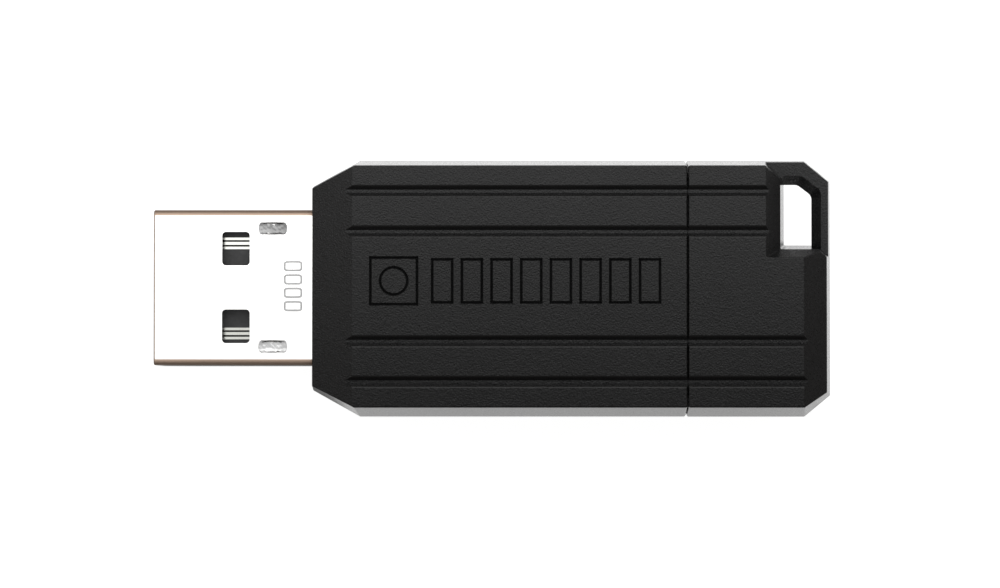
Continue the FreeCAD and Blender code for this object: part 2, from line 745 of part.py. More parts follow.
def make_carriage_part(label, up):
    """Tray (up -1) or lid (up 1) of the carriage, hollowed for the board, with the plug's seat in front."""
    body = new_body(label)
    sketch = sketch_of(body, "section", "YZ_Plane", "carriage_x", [carriage_profile(up, "split_rise")])
    pad(body, "bar", sketch, "carriage_end_x - carriage_x")
    room = rectangle("room_x", "-room_width", "room_end_x", "room_width")
    level = "split_rise" if up > 0 else "board_top_rise - board_thick"
    if up > 0:
        depth = "carriage_rise - carriage_wall - split_rise"
    else:
        depth = f"split_rise - ({level})"
    sketch = sketch_of(body, "room_plan", "XY_Plane", rise(1, "split_rise"), [room])
    pocket(body, "room", sketch, depth, reverse=up > 0)
    if up < 0:
        under = rectangle("room_x + ledge_front", "-ledge_width", "room_end_x - ledge_back", "ledge_width")
        sketch = sketch_of(body, "under_board_plan", "XY_Plane", rise(1, level), [under])
        pocket(body, "under_board", sketch, f"{level} + carriage_rise - carriage_wall")
    half = "plug_width + seat_play"
    seat = rectangle(f"-({half})", rise(-up, "past"), half, rise(up, "plug_rise + seat_play"))
    sketch = sketch_of(body, "seat_profile", "YZ_Plane", "room_x + past", [seat])
    pocket(body, "plug_seat", sketch, "room_x - carriage_x + 2 * past")
    lock = rectangle("lock_x - lock_width - seat_play", rise(up, "carriage_rise - lock_depth"),
                     "lock_x + lock_width + seat_play", rise(up, "carriage_rise + past"))
    sketch = sketch_of(body, "lock_groove_profile", "XZ_Plane", "0", [lock])
    pocket(body, "lock_groove", sketch, "2 * (lock_span + weld)", symmetric=True)
    if up < 0:
        cut_latch_arms(body)
        add_pegs(body)
    else:
        add_lid_lips(body)
    return body


def cut_latch_arms(body):
    """Frees a springy arm in each side wall of the tray, and puts a round-nosed bump near its end."""
    low, high = rise(1, "arm_low_rise"), rise(1, "arm_high_rise")
    split = rise(1, "split_rise + past")
    slot = [
        ("arm_x - arm_slot", split), ("arm_x - arm_slot", rise(1, "arm_low_rise - arm_slot")),
        ("arm_root_x", rise(1, "arm_low_rise - arm_slot")), ("arm_root_x", low),
        ("arm_x", low), ("arm_x", high), ("arm_root_x", high), ("arm_root_x", split),
    ]
    pocket(body, "arm_slots", sketch_of(body, "arm_slot_profile", "XZ_Plane", "0", [slot]))
    bump = [
        ("bump_x - bump_half", "carriage_width - weld"), ("bump_x + bump_half", "carriage_width - weld"),
        ("bump_x + bump_half", "carriage_width"), ("bump_x + bump_crown", "carriage_width + bump_height"),
        ("bump_x - bump_crown", "carriage_width + bump_height"), ("bump_x - bump_half", "carriage_width"),
    ]
    sketch = sketch_of(body, "bump_plan", "XY_Plane", rise(-1, "bump_rise"), both_sides(bump))
    pad(body, "latch_bumps", sketch, "2 * bump_rise")


def add_pegs(body):
    """Two pegs at the tail that the board's holes drop over."""
    root = "carriage_rise - carriage_wall + weld"
    sketch = new_sketch(body, "peg_plan", "XY_Plane", rise(-1, root))
    for y in ("peg_y", "-peg_y"):
        add_circle(sketch, "peg_x", y, "peg_r")
    pad(body, "pegs", sketch, f"{root} + peg_rise")


def add_lid_lips(body):
    """Lips under the lid that drop inside the tray's side walls."""
    face = "room_width - seat_play"
    lip = rectangle("lip_x", f"{face} - lip_width", "lip_end_x", face)
    sketch = sketch_of(body, "lip_plan", "XY_Plane", rise(1, "split_rise - lip_drop"), both_sides(lip))
    pad(body, "lips", sketch, "lip_drop + carriage_rise - carriage_wall - split_rise + weld")


# ---------------------------------------------------------------- plug


def back(distance):
    """Formula for a station a distance back from the plug's mouth."""
    return f"tip_x + {distance}"


def runs_along(edge):
    """Whether an edge is one of the long ones that run along the drive."""
    return edge.BoundBox.XLength > size("plug_length / 2")


def inner_fold(edge):
    """Whether an edge is a corner of the plug's bore."""
    y, z = size("plug_width - plug_wall"), size("plug_rise - plug_wall")
    centre = edge.CenterOfMass
    at_corner = abs(abs(centre.y) - y) < NEAR and abs(abs(centre.z - size("half_height")) - z) < NEAR
    return runs_along(edge) and at_corner


def window_corner(edge):
    """Whether an edge is an upright corner of one of the plug's windows."""
    x_low, x_high = size(back("window_start")) - NEAR, size(back("window_end")) + NEAR
    in_wall = upright(edge) and edge.BoundBox.ZLength < size("plug_wall") + NEAR
    return in_wall and x_low < edge.CenterOfMass.x < x_high


def add_solder_tab(body, name, low, high):
    """A tab behind the shell that carries on its side wall, between two places across the plug."""
    tab = rectangle(low, rise(1, "tab_low_rise"), high, rise(1, "tab_high_rise"))
    sketch = sketch_of(body, name + "_section", "YZ_Plane", back("plug_length - past"), [tab])
    pad(body, name, sketch, "tab_length + past")


def make_plug_shell():
    """Folded steel shell of the plug: windows, dimples, solder tabs and the dovetailed seam underneath."""
    body = new_body("plug_shell")
    outer = rectangle("-plug_width", rise(-1, "plug_rise"), "plug_width", rise(1, "plug_rise"))
    pad(body, "outside", sketch_of(body, "outer_section", "YZ_Plane", "tip_x", [outer]), "plug_length")
    dress(body, "Fillet", "folds", runs_along, "plug_round")
    tip_x = size("tip_x")
    dress(body, "Fillet", "eased_mouth", lambda e: lies_at(e, "x", tip_x), "plug_mouth_round")
    inner = rectangle("-plug_width + plug_wall", rise(-1, "plug_rise - plug_wall"),
                      "plug_width - plug_wall", rise(1, "plug_rise - plug_wall"))
    pocket(body, "inside", sketch_of(body, "inner_section", "YZ_Plane", "0", [inner]))
    dress(body, "Fillet", "inner_folds", inner_fold, "plug_round - plug_wall")
    window = rectangle(back("window_start"), "window_in_y", back("window_end"), "window_out_y")
    pocket(body, "windows", sketch_of(body, "window_plan", "XY_Plane", "0", both_sides(window)))
    dress(body, "Fillet", "window_corners", window_corner, "window_round")
    stamp_dimple(body, "dimple_left", "dimple_y")
    stamp_dimple(body, "dimple_right", "-dimple_y")
    add_solder_tab(body, "solder_tab_left", "plug_width - plug_wall", "plug_width")
    add_solder_tab(body, "solder_tab_right", "-plug_width", "plug_wall - plug_width")
    cut_shell_seam(body)
    return body


def stamp_dimple(body, name, y):
    """A shallow oval dent in the plug's top wall: a thin lens turned about an axis above the wall."""
    sketch = new_sketch(body, name + "_profile", "XZ_Plane", f"-({y})")
    middle = back("dimple_at")
    start, end = f"{middle} - dimple_length", f"{middle} + dimple_length"
    rim, floor = "half_height + plug_rise", "half_height + plug_rise - dimple_depth"
    axis_z = f"{rim} + dimple_axis"
    knee_run, knee_depth, floor_run = "dimple_length * 0.94", "dimple_depth * 0.62", "dimple_length * 0.8"
    add_polygon(sketch, [
        (start, axis_z), (start, rim), (f"{middle} - {knee_run}", f"{rim} - {knee_depth}"),
        (f"{middle} - {floor_run}", floor), (f"{middle} + {floor_run}", floor),
        (f"{middle} + {knee_run}", f"{rim} - {knee_depth}"), (end, rim), (end, axis_z),
    ])
    before = body.Shape.Volume
    feature = body.newObject("PartDesign::Groove", name)
    feature.Profile = sketch
    feature.ReferenceAxis = (sketch, ["Edge8"])
    feature.Angle = 360
    settle(feature, before)


def seam_edge(side):
    """One edge of the seam, on side 1 or -1 of its middle line, from beyond the mouth to beyond the rear."""
    half = f"{side} * seam_width / 2"
    root_start, root_end = back(f"dovetail_start - {half}"), back(f"dovetail_end + {half}")
    head_start, head_end = f"{root_start} - dovetail_flare", f"{root_end} + dovetail_flare"
    head = f"dovetail_reach + {half}"
    return [
        ("tip_x - past", half), (root_start, half), (head_start, head), (head_end, head), (root_end, half),
        (back("plug_length + past"), half),
    ]


def cut_shell_seam(body):
    """The hairline seam under the plug where the folded sheet's edges meet, with one dovetail."""
    outline = seam_edge(-1) + seam_edge(1)[::-1]
    sketch = sketch_of(body, "seam_plan", "XY_Plane", rise(-1, "plug_rise + past"), [outline])
    pocket(body, "seam", sketch, "plug_wall + past + plug_wall", reverse=True)


def pin_places():
    """Name, place across the plug and start of each of the four contacts."""
    return [
        ("contact_power", "power_pin_y", "power_start"),
        ("contact_data_minus", "data_pin_y", "data_start"),
        ("contact_data_plus", "-data_pin_y", "data_start"),
        ("contact_ground", "-power_pin_y", "power_start"),
    ]


def make_insulator():
    """Moulded tongue of the plug, with the block behind it that holds the contacts in the shell."""
    body = new_body("plug_insulator")
    half = "plug_width - plug_wall - shell_play"
    floor = rise(-1, "plug_rise - plug_wall - bed_play")
    ceiling = rise(1, "plug_rise - plug_wall - bed_play")
    edge = f"{half} - tongue_inset"
    tongue = cut_rectangle(f"-({edge})", floor, edge, "half_height", "insulator_cut")
    sketch = sketch_of(body, "tongue_section", "YZ_Plane", back("insulator_start"), [tongue])
    pad(body, "tongue", sketch, "insulator_end - insulator_start")
    block = cut_rectangle(f"-({half})", floor, half, ceiling, "insulator_cut")
    sketch = sketch_of(body, "block_section", "YZ_Plane", back("insulator_block"), [block])
    pad(body, "block", sketch, "insulator_end - insulator_block")
    front, middle = size(back("insulator_start")), size("half_height")

    def tongue_nose(item):
        return lies_at(item, "x", front) and lies_at(item, "z", middle)

    dress(body, "Chamfer", "tongue_nose", tongue_nose, "lead_in")
    slot_rise = "(contact_thick + bed_play) / 2"
    slots = [
        rectangle(f"{y} - contact_half - bed_play", rise(-1, slot_rise), f"{y} + contact_half + bed_play",
                  rise(1, slot_rise))
        for _, y, _ in pin_places()
    ]
    pocket(body, "contact_slots", sketch_of(body, "slot_sections", "YZ_Plane", "0", slots))
    return body


def make_contact(label, y, start):
    """One contact strip, with two fine flutes along the part that the socket's spring rubs."""
    body = new_body(label)
    top = rise(1, "contact_thick / 2")
    strip = rectangle(f"{y} - contact_half", rise(-1, "contact_thick / 2"), f"{y} + contact_half", top)
    sketch = sketch_of(body, "section", "YZ_Plane", back(start), [strip])
    pad(body, "strip", sketch, f"contact_end - {start}")
    front, face = size(back(start)), size(top)
    dress(body, "Chamfer", "nose", lambda e: lies_at(e, "x", front) and lies_at(e, "z", face), "contact_nose")
    flutes = []
    for centre in (f"{y} + flute_y", f"{y} - flute_y"):
        low, high = f"{centre} - flute_half", f"{centre} + flute_half"
        bottom = (centre, f"{top} - flute_depth")
        flutes.append([(low, top), (low, f"{top} + past"), (high, f"{top} + past"), (high, top), bottom])
    sketch = sketch_of(body, "flute_sections", "YZ_Plane", back(start), flutes)
    pocket(body, "flutes", sketch, f"insulator_block - {start}", reverse=True)
    return body


# ---------------------------------------------------------------- circuit board and components


def make_board():
    """Circuit board, notched in front for the plug's tabs and waisted beside the latch arms."""
    body = new_body("circuit_board")
    tab_in, tab_out = "plug_width - plug_wall - board_gap", "plug_width + board_gap"
    tab_back, waist_end = back("plug_length + tab_length + board_gap"), "arm_root_x + waist_gap"
    side = [
        ("board_x", tab_in), (tab_back, tab_in), (tab_back, tab_out), ("board_x", tab_out),
        ("board_x", "board_waist"), (waist_end, "board_waist"), (waist_end, "board_width"),
        ("board_end_x", "board_width"),
    ]
    outline = side + [(x, f"-({y})") for x, y in reversed(side)]
    sketch = sketch_of(body, "outline", "XY_Plane", rise(1, "board_top_rise - board_thick"), [outline])
    pad(body, "board", sketch, "board_thick")
    holes = new_sketch(body, "hole_plan", "XY_Plane", rise(1, "board_top_rise"))
    for y in ("peg_y", "-peg_y"):
        add_circle(holes, "peg_x", y, "peg_r + peg_play")
    pocket(body, "peg_holes", holes, "board_thick")
    rear = size("board_end_x")
    dress(body, "Chamfer", "corners", lambda e: upright(e) and lies_at(e, "x", rear), "board_corner")
    return body


def make_chip(label, x, length, width, height, side):
    """A moulded chip body on the board's top (side 1) or underside (side -1), with its index dimple."""
    body = new_body(label)
    face = "board_top_rise" if side > 0 else "board_top_rise - board_thick"
    half_x, half_y = f"({length}) / 2", f"({width}) / 2"
    plan = rectangle(f"{x} - {half_x}", f"-({half_y})", f"{x} + {half_x}", half_y)
    sketch = sketch_of(body, "plan", "XY_Plane", rise(1, f"{face} + {side} * chip_stand"), [plan])
    pad(body, "moulding", sketch, height, reverse=side < 0)
    far = size(rise(1, f"{face} + {side} * (chip_stand + {height})"))
    dress(body, "Chamfer", "mould_edges", lambda e: lies_at(e, "z", far), "mould_bevel")
    sketch = new_sketch(body, "index_plan", "XY_Plane", rise(1, f"{face} + {side} * (chip_stand + {height})"))
    add_circle(sketch, f"{x} - {half_x} + index_inset", f"{half_y} - index_inset", "index_radius")
    pocket(body, "index_dimple", sketch, "index_depth", reverse=side < 0)
    return body


def new_group(label, solids):
    """Identical small pieces that share one node, each a solid of its own."""
    group = DOCUMENT.addObject("Part::Feature", label)
    group.Label = label
    group.Shape = Part.makeCompound(solids)
    return group


def extruded_section(points, half):
    """A solid from a section in the XZ plane, carried half its width to each side of the middle."""
    wire = Part.makePolygon([FreeCAD.Vector(x, -half, z) for x, z in points + points[:1]])
    return Part.Face(wire).extrude(FreeCAD.Vector(0, 2 * half, 0))


def gull_wing(reach, drop):
    """One bent lead in the XZ plane: out of the chip, down and along the board, centred on Y."""
    thick = size("lead_thick")
    knee, foot = reach * 0.3, reach * 0.5
    inside = thick * 0.6            # the bends' inner corners lag behind the outer ones by this
    points = [(0, 0), (knee, 0), (foot, -drop + thick), (reach, -drop + thick), (reach, -drop),
              (foot - inside, -drop), (knee - inside, -thick), (0, -thick)]
    return extruded_section(points, size("lead_width") / 2)


def lead_rows(label, centre_x, sides, count, edge_distance, face_z, flip):
    """Rows of gull-wing leads round a chip. sides are the angles of the rows that carry leads."""
    drop = size("chip_stand") + size("memory_height") / 2 + size("lead_thick") / 2
    lead = gull_wing(size("lead_reach"), drop)
    lead.translate(FreeCAD.Vector(edge_distance, 0, drop))
    pitch = size("lead_pitch")
    solids = []
    for angle in sides:
        for i in range(count):
            copy = lead.copy()
            copy.translate(FreeCAD.Vector(0, (i - (count - 1) / 2) * pitch, 0))
            copy.rotate(FreeCAD.Vector(), FreeCAD.Vector(0, 0, 1), angle)
            if flip:
                copy.rotate(FreeCAD.Vector(), FreeCAD.Vector(1, 0, 0), 180)
            copy.translate(FreeCAD.Vector(centre_x, 0, face_z))
            solids.append(copy)
    return new_group(label, solids)


def box_between(low, high):
    """A plain block between two corners."""
    span = [b - a for a, b in zip(low, high)]
    return Part.makeBox(*span, FreeCAD.Vector(*low))


def chip_component(x, y, length, width, height, along_x=True):
    """A capacitor or resistor under the board: a block whose soldered ends are a little fuller."""
    metal, fuller = size("end_metal"), size("end_metal_fuller")
    body = box_between((-length / 2, -width / 2, -height), (length / 2, width / 2, 0))
    for side in (-1, 1):
        centre, half = side * (length - metal) / 2, metal / 2 + fuller
        corner = (centre - half, -width / 2 - fuller, -height - fuller)
        body = body.fuse(box_between(corner, (centre + half, width / 2 + fuller, 0)))
    body = body.removeSplitter()
    if not along_x:
        body.rotate(FreeCAD.Vector(), FreeCAD.Vector(0, 0, 1), 90)
    body.translate(FreeCAD.Vector(x, y, size(rise(1, "board_top_rise - board_thick"))))
    return body


def bevelled_far_edges(block, z, amount):
    """The block with the edges of its face at height z bevelled."""
    return block.makeChamfer(amount, [edge for edge in block.Edges if lies_at(edge, "z", z)])


def regulator_solids(x, y, top):
    """A three-legged regulator under the board: its moulding, two legs on one side and one on the other."""
    half_x, half_y = size("regulator_length / 2"), size("regulator_width / 2")
    height, stand = size("regulator_height"), size("chip_stand")
    far = top - stand - height
    moulding = box_between((x - half_x, y - half_y, far), (x + half_x, y + half_y, top - stand))
    solids = [bevelled_far_edges(moulding, far, size("mould_bevel"))]
    drop = stand + height / 2 + size("lead_thick") / 2
    half_pitch = size("regulator_pitch / 2")
    for angle, shift in ((0, 0), (180, half_pitch), (180, -half_pitch)):
        leg = gull_wing(size("regulator_reach"), drop)
        leg.translate(FreeCAD.Vector(half_x, shift, drop))
        leg.rotate(FreeCAD.Vector(), FreeCAD.Vector(0, 0, 1), angle)
        leg.rotate(FreeCAD.Vector(), FreeCAD.Vector(1, 0, 0), 180)
        leg.translate(FreeCAD.Vector(x, y, top))
        solids.append(leg)
    return solids


def crystal_solid(top):
    """The clock crystal under the board: a ceramic base with a slightly smaller metal can on it."""
    x, half_x, half_y = size("crystal_x"), size("crystal_length / 2"), size("crystal_width / 2")
    rim, step, far = size("crystal_rim"), top - size("crystal_base"), top - size("crystal_height")
    base = box_between((x - half_x, -half_y, step), (x + half_x, half_y, top))
    can = box_between((x - half_x + rim, -half_y + rim, far), (x + half_x - rim, half_y - rim, step))
    return bevelled_far_edges(base.fuse(can).removeSplitter(), far, rim)


def make_small_components():
    """Crystal, regulator, capacitors and resistors on the board's underside."""
    top = size(rise(1, "board_top_rise - board_thick"))
    new_group("clock_crystal", [crystal_solid(top)])
    new_group("voltage_regulator", regulator_solids(size("regulator_x"), size("regulator_y"), top))
    capacitor = size("capacitor_length"), size("capacitor_width"), size("capacitor_width")
    new_group("capacitors", [chip_component(x, y, *capacitor) for x, y in CAPACITOR_PLACES])
    resistor = size("resistor_length"), size("resistor_width"), size("resistor_height")
    new_group("resistors", [chip_component(x, y, *resistor, along_x=False) for x, y in RESISTOR_PLACES])


def solder_fillet(x, y, half, length, top):
    """A ramp of solder beside a leg: highest against it, hollow in the middle and flat at its foot."""
    height = size("solder_rise")
    ramp = extruded_section([(0, 0), (length, 0), (length * 0.35, height * 0.4), (0, height)], half)
    ramp.translate(FreeCAD.Vector(x, y, top))
    return ramp


def make_solder():
    """Solder behind the four contact legs and beside the plug's two tabs."""
    top = size(rise(1, "board_top_rise"))
    end, half, length = size(back("contact_end")), size("contact_half"), size("contact_solder")
    solids = [solder_fillet(end, size(y), half, length, top) for _, y, _ in pin_places()]
    tab_end = size(back("plug_length + tab_length + board_gap"))
    half, length, middle = size("tab_solder_half"), size("tab_solder"), size("plug_width - plug_wall / 2")
    solids += [solder_fillet(tab_end, y, half, length, top) for y in (-middle, middle)]
    return new_group("solder_joints", solids)


# ---------------------------------------------------------------- the whole drive


def build():
    """Makes every sub-part and returns them by the name of their node."""
    for name, up in (("upper", 1), ("lower", -1)):
        make_sleeve_half(f"sleeve_{name}_shell", up)
        make_cap_half(f"end_cap_{name}_shell", up)
    make_carriage_part("carriage_lid", 1)
    make_carriage_part("carriage_tray", -1)
    make_plug_shell()
    make_insulator()
    for label, y, start in pin_places():
        make_contact(label, y, start)
    make_board()
    make_chip("memory_chip", "memory_x", "memory_length", "memory_width", "memory_height", 1)
    make_chip("controller_chip", "controller_x", "controller_size", "controller_size", "memory_height", -1)
    board_top = size(rise(1, "board_top_rise"))
    board_under = board_top - size("board_thick")
    edge = size("memory_length / 2")
    lead_rows("memory_chip_leads", size("memory_x"), (0, 180), MEMORY_LEADS, edge, board_top, False)
    edge, sides = size("controller_size / 2"), (0, 90, 180, 270)
    lead_rows("controller_chip_leads", size("controller_x"), sides, CONTROLLER_LEADS, edge, board_under, True)
    make_small_components()
    make_solder()
    DOCUMENT.recompute()
    kinds = ("PartDesign::Body", "Part::Feature")
    return [o for o in DOCUMENT.Objects if o.TypeId in kinds and not o.Label.endswith(("_loop", "_block"))]


def check(subparts):
    """Stops the run if any object failed or any sub-part isn't a whole solid."""
    for item in DOCUMENT.Objects:
        if {"Invalid", "Error"} & set(item.State):
            raise ValueError(f"{item.Label} failed: {item.State}")
    for item in subparts:
        shape = item.Shape
        if shape.isNull() or not shape.isValid() or not shape.Solids:
            raise ValueError(f"{item.Label} is not a valid solid")


def main():
    subparts = build()
    check(subparts)
    os.makedirs("parts", exist_ok=True)
    for item in subparts:
        item.Shape.exportStep(f"parts/{item.Label}.step")
        box = item.Shape.optimalBoundingBox()
        print(f"{item.Label}: {len(item.Shape.Solids)} solid(s), {item.Shape.Volume:.2f} mm3, "
              f"x {box.XMin:.2f} to {box.XMax:.2f}, y {box.YMin:.2f} to {box.YMax:.2f}, "
              f"z {box.ZMin:.2f} to {box.ZMax:.2f}")


main()
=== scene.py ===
# %% [markdown]
# # A push-pull flash drive
#
# This lesson dresses a finished engineering model of a small flash drive. The shells, the plug and the
# electronics come in as they are, at their real size, and are never moved. What is left for Blender is what
# the eye judges first: the grain of the moulded plastic, the plated steel of the plug, the small pressed
# and etched details on it, and light that shows them.

# %% Load the frame
import math

import bpy
import numpy as np
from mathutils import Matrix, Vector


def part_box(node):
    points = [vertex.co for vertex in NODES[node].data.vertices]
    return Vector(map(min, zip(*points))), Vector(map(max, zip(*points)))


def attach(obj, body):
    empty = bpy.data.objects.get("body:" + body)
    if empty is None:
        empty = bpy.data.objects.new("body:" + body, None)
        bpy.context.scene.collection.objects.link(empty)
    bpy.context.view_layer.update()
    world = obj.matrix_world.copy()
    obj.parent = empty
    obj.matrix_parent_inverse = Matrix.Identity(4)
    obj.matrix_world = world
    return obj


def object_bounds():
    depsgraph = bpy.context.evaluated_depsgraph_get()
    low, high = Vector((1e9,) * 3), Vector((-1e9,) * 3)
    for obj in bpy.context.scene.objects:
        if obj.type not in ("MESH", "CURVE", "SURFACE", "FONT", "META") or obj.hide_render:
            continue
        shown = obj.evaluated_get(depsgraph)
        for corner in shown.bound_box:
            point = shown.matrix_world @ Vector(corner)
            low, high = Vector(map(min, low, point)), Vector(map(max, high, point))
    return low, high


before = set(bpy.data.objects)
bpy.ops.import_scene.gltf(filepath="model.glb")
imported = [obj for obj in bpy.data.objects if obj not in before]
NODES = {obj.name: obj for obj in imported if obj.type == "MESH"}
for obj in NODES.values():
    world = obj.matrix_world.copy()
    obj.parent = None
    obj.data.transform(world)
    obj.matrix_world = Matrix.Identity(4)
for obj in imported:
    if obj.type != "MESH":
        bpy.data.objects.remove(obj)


def as_lists(box):
    """A box's two corners as plain lists of numbers."""
    return [[float(value) for value in corner] for corner in box]


cad_box = as_lists(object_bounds())
low, high = cad_box
MM = 0.001
MIDDLE_Z = (low[2] + high[2]) / 2
print("frame:", len(NODES), "nodes,", [round((b - a) / MM, 2) for a, b in zip(low, high)], "mm")

# %% [markdown]
# ## The view
#
# A product picture of something this small is taken from well above with a long lens, so that its sides
# hardly spread. The camera looks almost straight down, leaning two degrees towards the near side, from 40
# cm away. At that distance a 185 mm lens fills two thirds of the picture's width with the drive.

# %% Camera
CAMERA_DISTANCE = 400 * MM
CAMERA_ELEVATION = math.radians(88)
AIM = (0.565 * MM, -0.43 * MM, MIDDLE_Z)
SENSOR_WIDTH = 36.0             # millimetres, as the lens length is
VIEW_WIDTH = 77.64 * MM         # how much the view takes in from side to side, at the aim point


def make_camera():
    """Places the camera on a sphere about the aim point, looking at it, and returns it."""
    data = bpy.data.cameras.new("camera")
    data.sensor_width = SENSOR_WIDTH
    data.lens = SENSOR_WIDTH * CAMERA_DISTANCE / VIEW_WIDTH
    data.clip_start = 0.01
    data.clip_end = 20.0
    camera = bpy.data.objects.new("camera", data)
    back = -CAMERA_DISTANCE * math.cos(CAMERA_ELEVATION)
    rise = CAMERA_DISTANCE * math.sin(CAMERA_ELEVATION)
    camera.location = (AIM[0], AIM[1] + back, AIM[2] + rise)
    camera.rotation_euler = (math.pi / 2 - CAMERA_ELEVATION, 0.0, 0.0)
    bpy.context.scene.collection.objects.link(camera)
    bpy.context.scene.camera = camera
    return camera


camera = make_camera()
bpy.context.scene.view_settings.view_transform = "Standard"
print("camera: lens", round(camera.data.lens, 1), "mm")

# %% [markdown]
# ## Light
#
# The drive is black and the ground under it is white, so nearly everything seen on it is a reflection. A
# white card hangs above and behind it and gives the flat faces their sheen. The ground glows like a light
# table, and the leaning side walls pick it up as bright edges; in reflections its glow is painted, as a pool
# of light near the drive and a painted shadow under it. Between the two the room is dim and slightly warm,
# which keeps the slopes and grooves dark. A second card hangs higher, over the plug, and lights only the
# plug: the last step sees to that.


# %% Node helpers
def add_node(tree, kind, **inputs):
    """Adds a shader node and sets its attributes (operation=...) and its sockets' values (Scale=...)."""
    node = tree.nodes.new(kind)
    for name, value in inputs.items():
        if hasattr(node, name):
            setattr(node, name, value)
        else:
            node.inputs[name].default_value = value
    return node


def wire(tree, *pairs):
    """Links each pair of (output socket, input socket)."""
    for source, target in pairs:
        tree.links.new(source, target)


def arithmetic(tree, operation, first, second=None, third=None):
    """One Math node: each operand is a number or a socket. Returns the result's socket."""
    node = tree.nodes.new("ShaderNodeMath")
    node.operation = operation
    for slot, operand in enumerate((first, second, third)):
        if isinstance(operand, (int, float)):
            node.inputs[slot].default_value = operand
        elif operand is not None:
            tree.links.new(operand, node.inputs[slot])
    return node.outputs[0]


def remap(tree, value, from_low, from_high, to_low, to_high, smooth=False):
    """A clamped Map Range of a socket's value."""
    node = tree.nodes.new("ShaderNodeMapRange")
    node.interpolation_type = "SMOOTHSTEP" if smooth else "LINEAR"
    limits = {"From Min": from_low, "From Max": from_high, "To Min": to_low, "To Max": to_high}
    for name, number in limits.items():
        node.inputs[name].default_value = number
    tree.links.new(value, node.inputs["Value"])
    return node.outputs["Result"]


# %% World
ROOM_BY_HEIGHT = [              # how far up a direction points, 0 level and 1 straight up, and its colour
    (0.0, (0.12, 0.10, 0.084)),
    (0.32, (0.112, 0.10, 0.092)),
    (0.60, (0.24, 0.236, 0.232)),
    (1.0, (0.08, 0.08, 0.08)),
]


def make_world():
    """Room light by height: warm and dim near the horizon, brightest halfway up. The camera sees white."""
    world = bpy.data.worlds.new("studio_room")
    world.use_nodes = True
    tree = world.node_tree
    tree.nodes.clear()
    place = add_node(tree, "ShaderNodeTexCoord")
    split = add_node(tree, "ShaderNodeSeparateXYZ")
    ramp = add_node(tree, "ShaderNodeValToRGB")
    while len(ramp.color_ramp.elements) < len(ROOM_BY_HEIGHT):
        ramp.color_ramp.elements.new(0.5)
    for element, (position, colour) in zip(ramp.color_ramp.elements, ROOM_BY_HEIGHT):
        element.position = position
        element.color = (*colour, 1.0)
    room = add_node(tree, "ShaderNodeBackground", Strength=1.0)
    seen = add_node(tree, "ShaderNodeBackground", Color=(1.0, 1.0, 1.0, 1.0), Strength=1.0)
    path = add_node(tree, "ShaderNodeLightPath")
    pick = add_node(tree, "ShaderNodeMixShader")
    out = add_node(tree, "ShaderNodeOutputWorld")
    wire(tree, (place.outputs["Generated"], split.inputs[0]), (split.outputs["Z"], ramp.inputs[0]),
         (ramp.outputs[0], room.inputs[0]), (path.outputs["Is Camera Ray"], pick.inputs[0]),
         (room.outputs[0], pick.inputs[1]), (seen.outputs[0], pick.inputs[2]),
         (pick.outputs[0], out.inputs[0]))
    bpy.context.scene.world = world
    return world


world = make_world()
print("world:", world.name)


# %% Lights
def make_card(name, x_range, y_range, height, radiance):
    """A white card: an area light that lies flat at a height and faces down, as bright as radiance says."""
    width, depth = x_range[1] - x_range[0], y_range[1] - y_range[0]
    data = bpy.data.lights.new(name, "AREA")
    data.shape = "RECTANGLE"
    data.size = width
    data.size_y = depth
    data.energy = radiance * width * depth * math.pi
    card = bpy.data.objects.new(name, data)
    card.location = (sum(x_range) / 2, sum(y_range) / 2, height)
    card.visible_camera = False
    bpy.context.scene.collection.objects.link(card)
    return card


CARD_REACH = 100 * MM
CARD_EDGE = 3.5 * MM            # the main card starts this far behind the drive's middle line
CARD_HEIGHT = 55 * MM
CARD_RADIANCE = 1.12
PLUG_CARD_REACH = 110 * MM      # each way from the plug's mouth
PLUG_CARD_HEIGHT = 110 * MM
PLUG_CARD_RADIANCE = 1.3
main_card = make_card("main_card", (-CARD_REACH, CARD_REACH), (CARD_EDGE, CARD_REACH), CARD_HEIGHT,
                      CARD_RADIANCE)
plug_card = make_card("plug_card", (low[0] - PLUG_CARD_REACH, low[0] + PLUG_CARD_REACH),
                      (-PLUG_CARD_REACH, PLUG_CARD_REACH), PLUG_CARD_HEIGHT, PLUG_CARD_RADIANCE)
print("lights:", main_card.name, plug_card.name)


# %% Ground
def grid_mesh(name, points):
    """A mesh from a grid of points, rows by columns: every cell of the grid is one quad."""
    rows, columns = points.shape[:2]
    index = np.arange(rows * columns).reshape(rows, columns)
    quads = np.stack([index[:-1, :-1], index[:-1, 1:], index[1:, 1:], index[1:, :-1]], axis=-1)
    mesh = bpy.data.meshes.new(name)
    mesh.from_pydata(points.reshape(-1, 3).tolist(), [], quads.reshape(-1, 4).tolist())
    mesh.update()
    return mesh


def new_object(name, mesh, material):
    """Puts a mesh with one material into the scene."""
    piece = bpy.data.objects.new(name, mesh)
    bpy.context.scene.collection.objects.link(piece)
    mesh.materials.append(material)
    return piece


# The glow seen in reflections is painted light and shade: a pool of light near and behind the drive, and a
# painted shadow under it.
GLOW_NEAR = 1.5 * MM            # how far beyond the drive's box the glow starts to fall off
GLOW_FAR = 9 * MM               # and how far beyond it the fall ends
GLOW_LEFT_FAR = 0.10            # share of the glow that is left there
GLOW_IN_FRONT = 0.72            # share in front of the drive, against 1 behind it
GLOW_IN_PAINTED_SHADOW = 0.15          # share under the drive
GLOW_AT_A_SLANT = 0.25          # share where the table is seen at a slant
LOOP_HOLE_SIDE = 6.4 * MM       # the hole in the key loop, in from the drive's side and from its rear end
LOOP_HOLE_FRONT, LOOP_HOLE_REAR = 3.4 * MM, 0.9 * MM


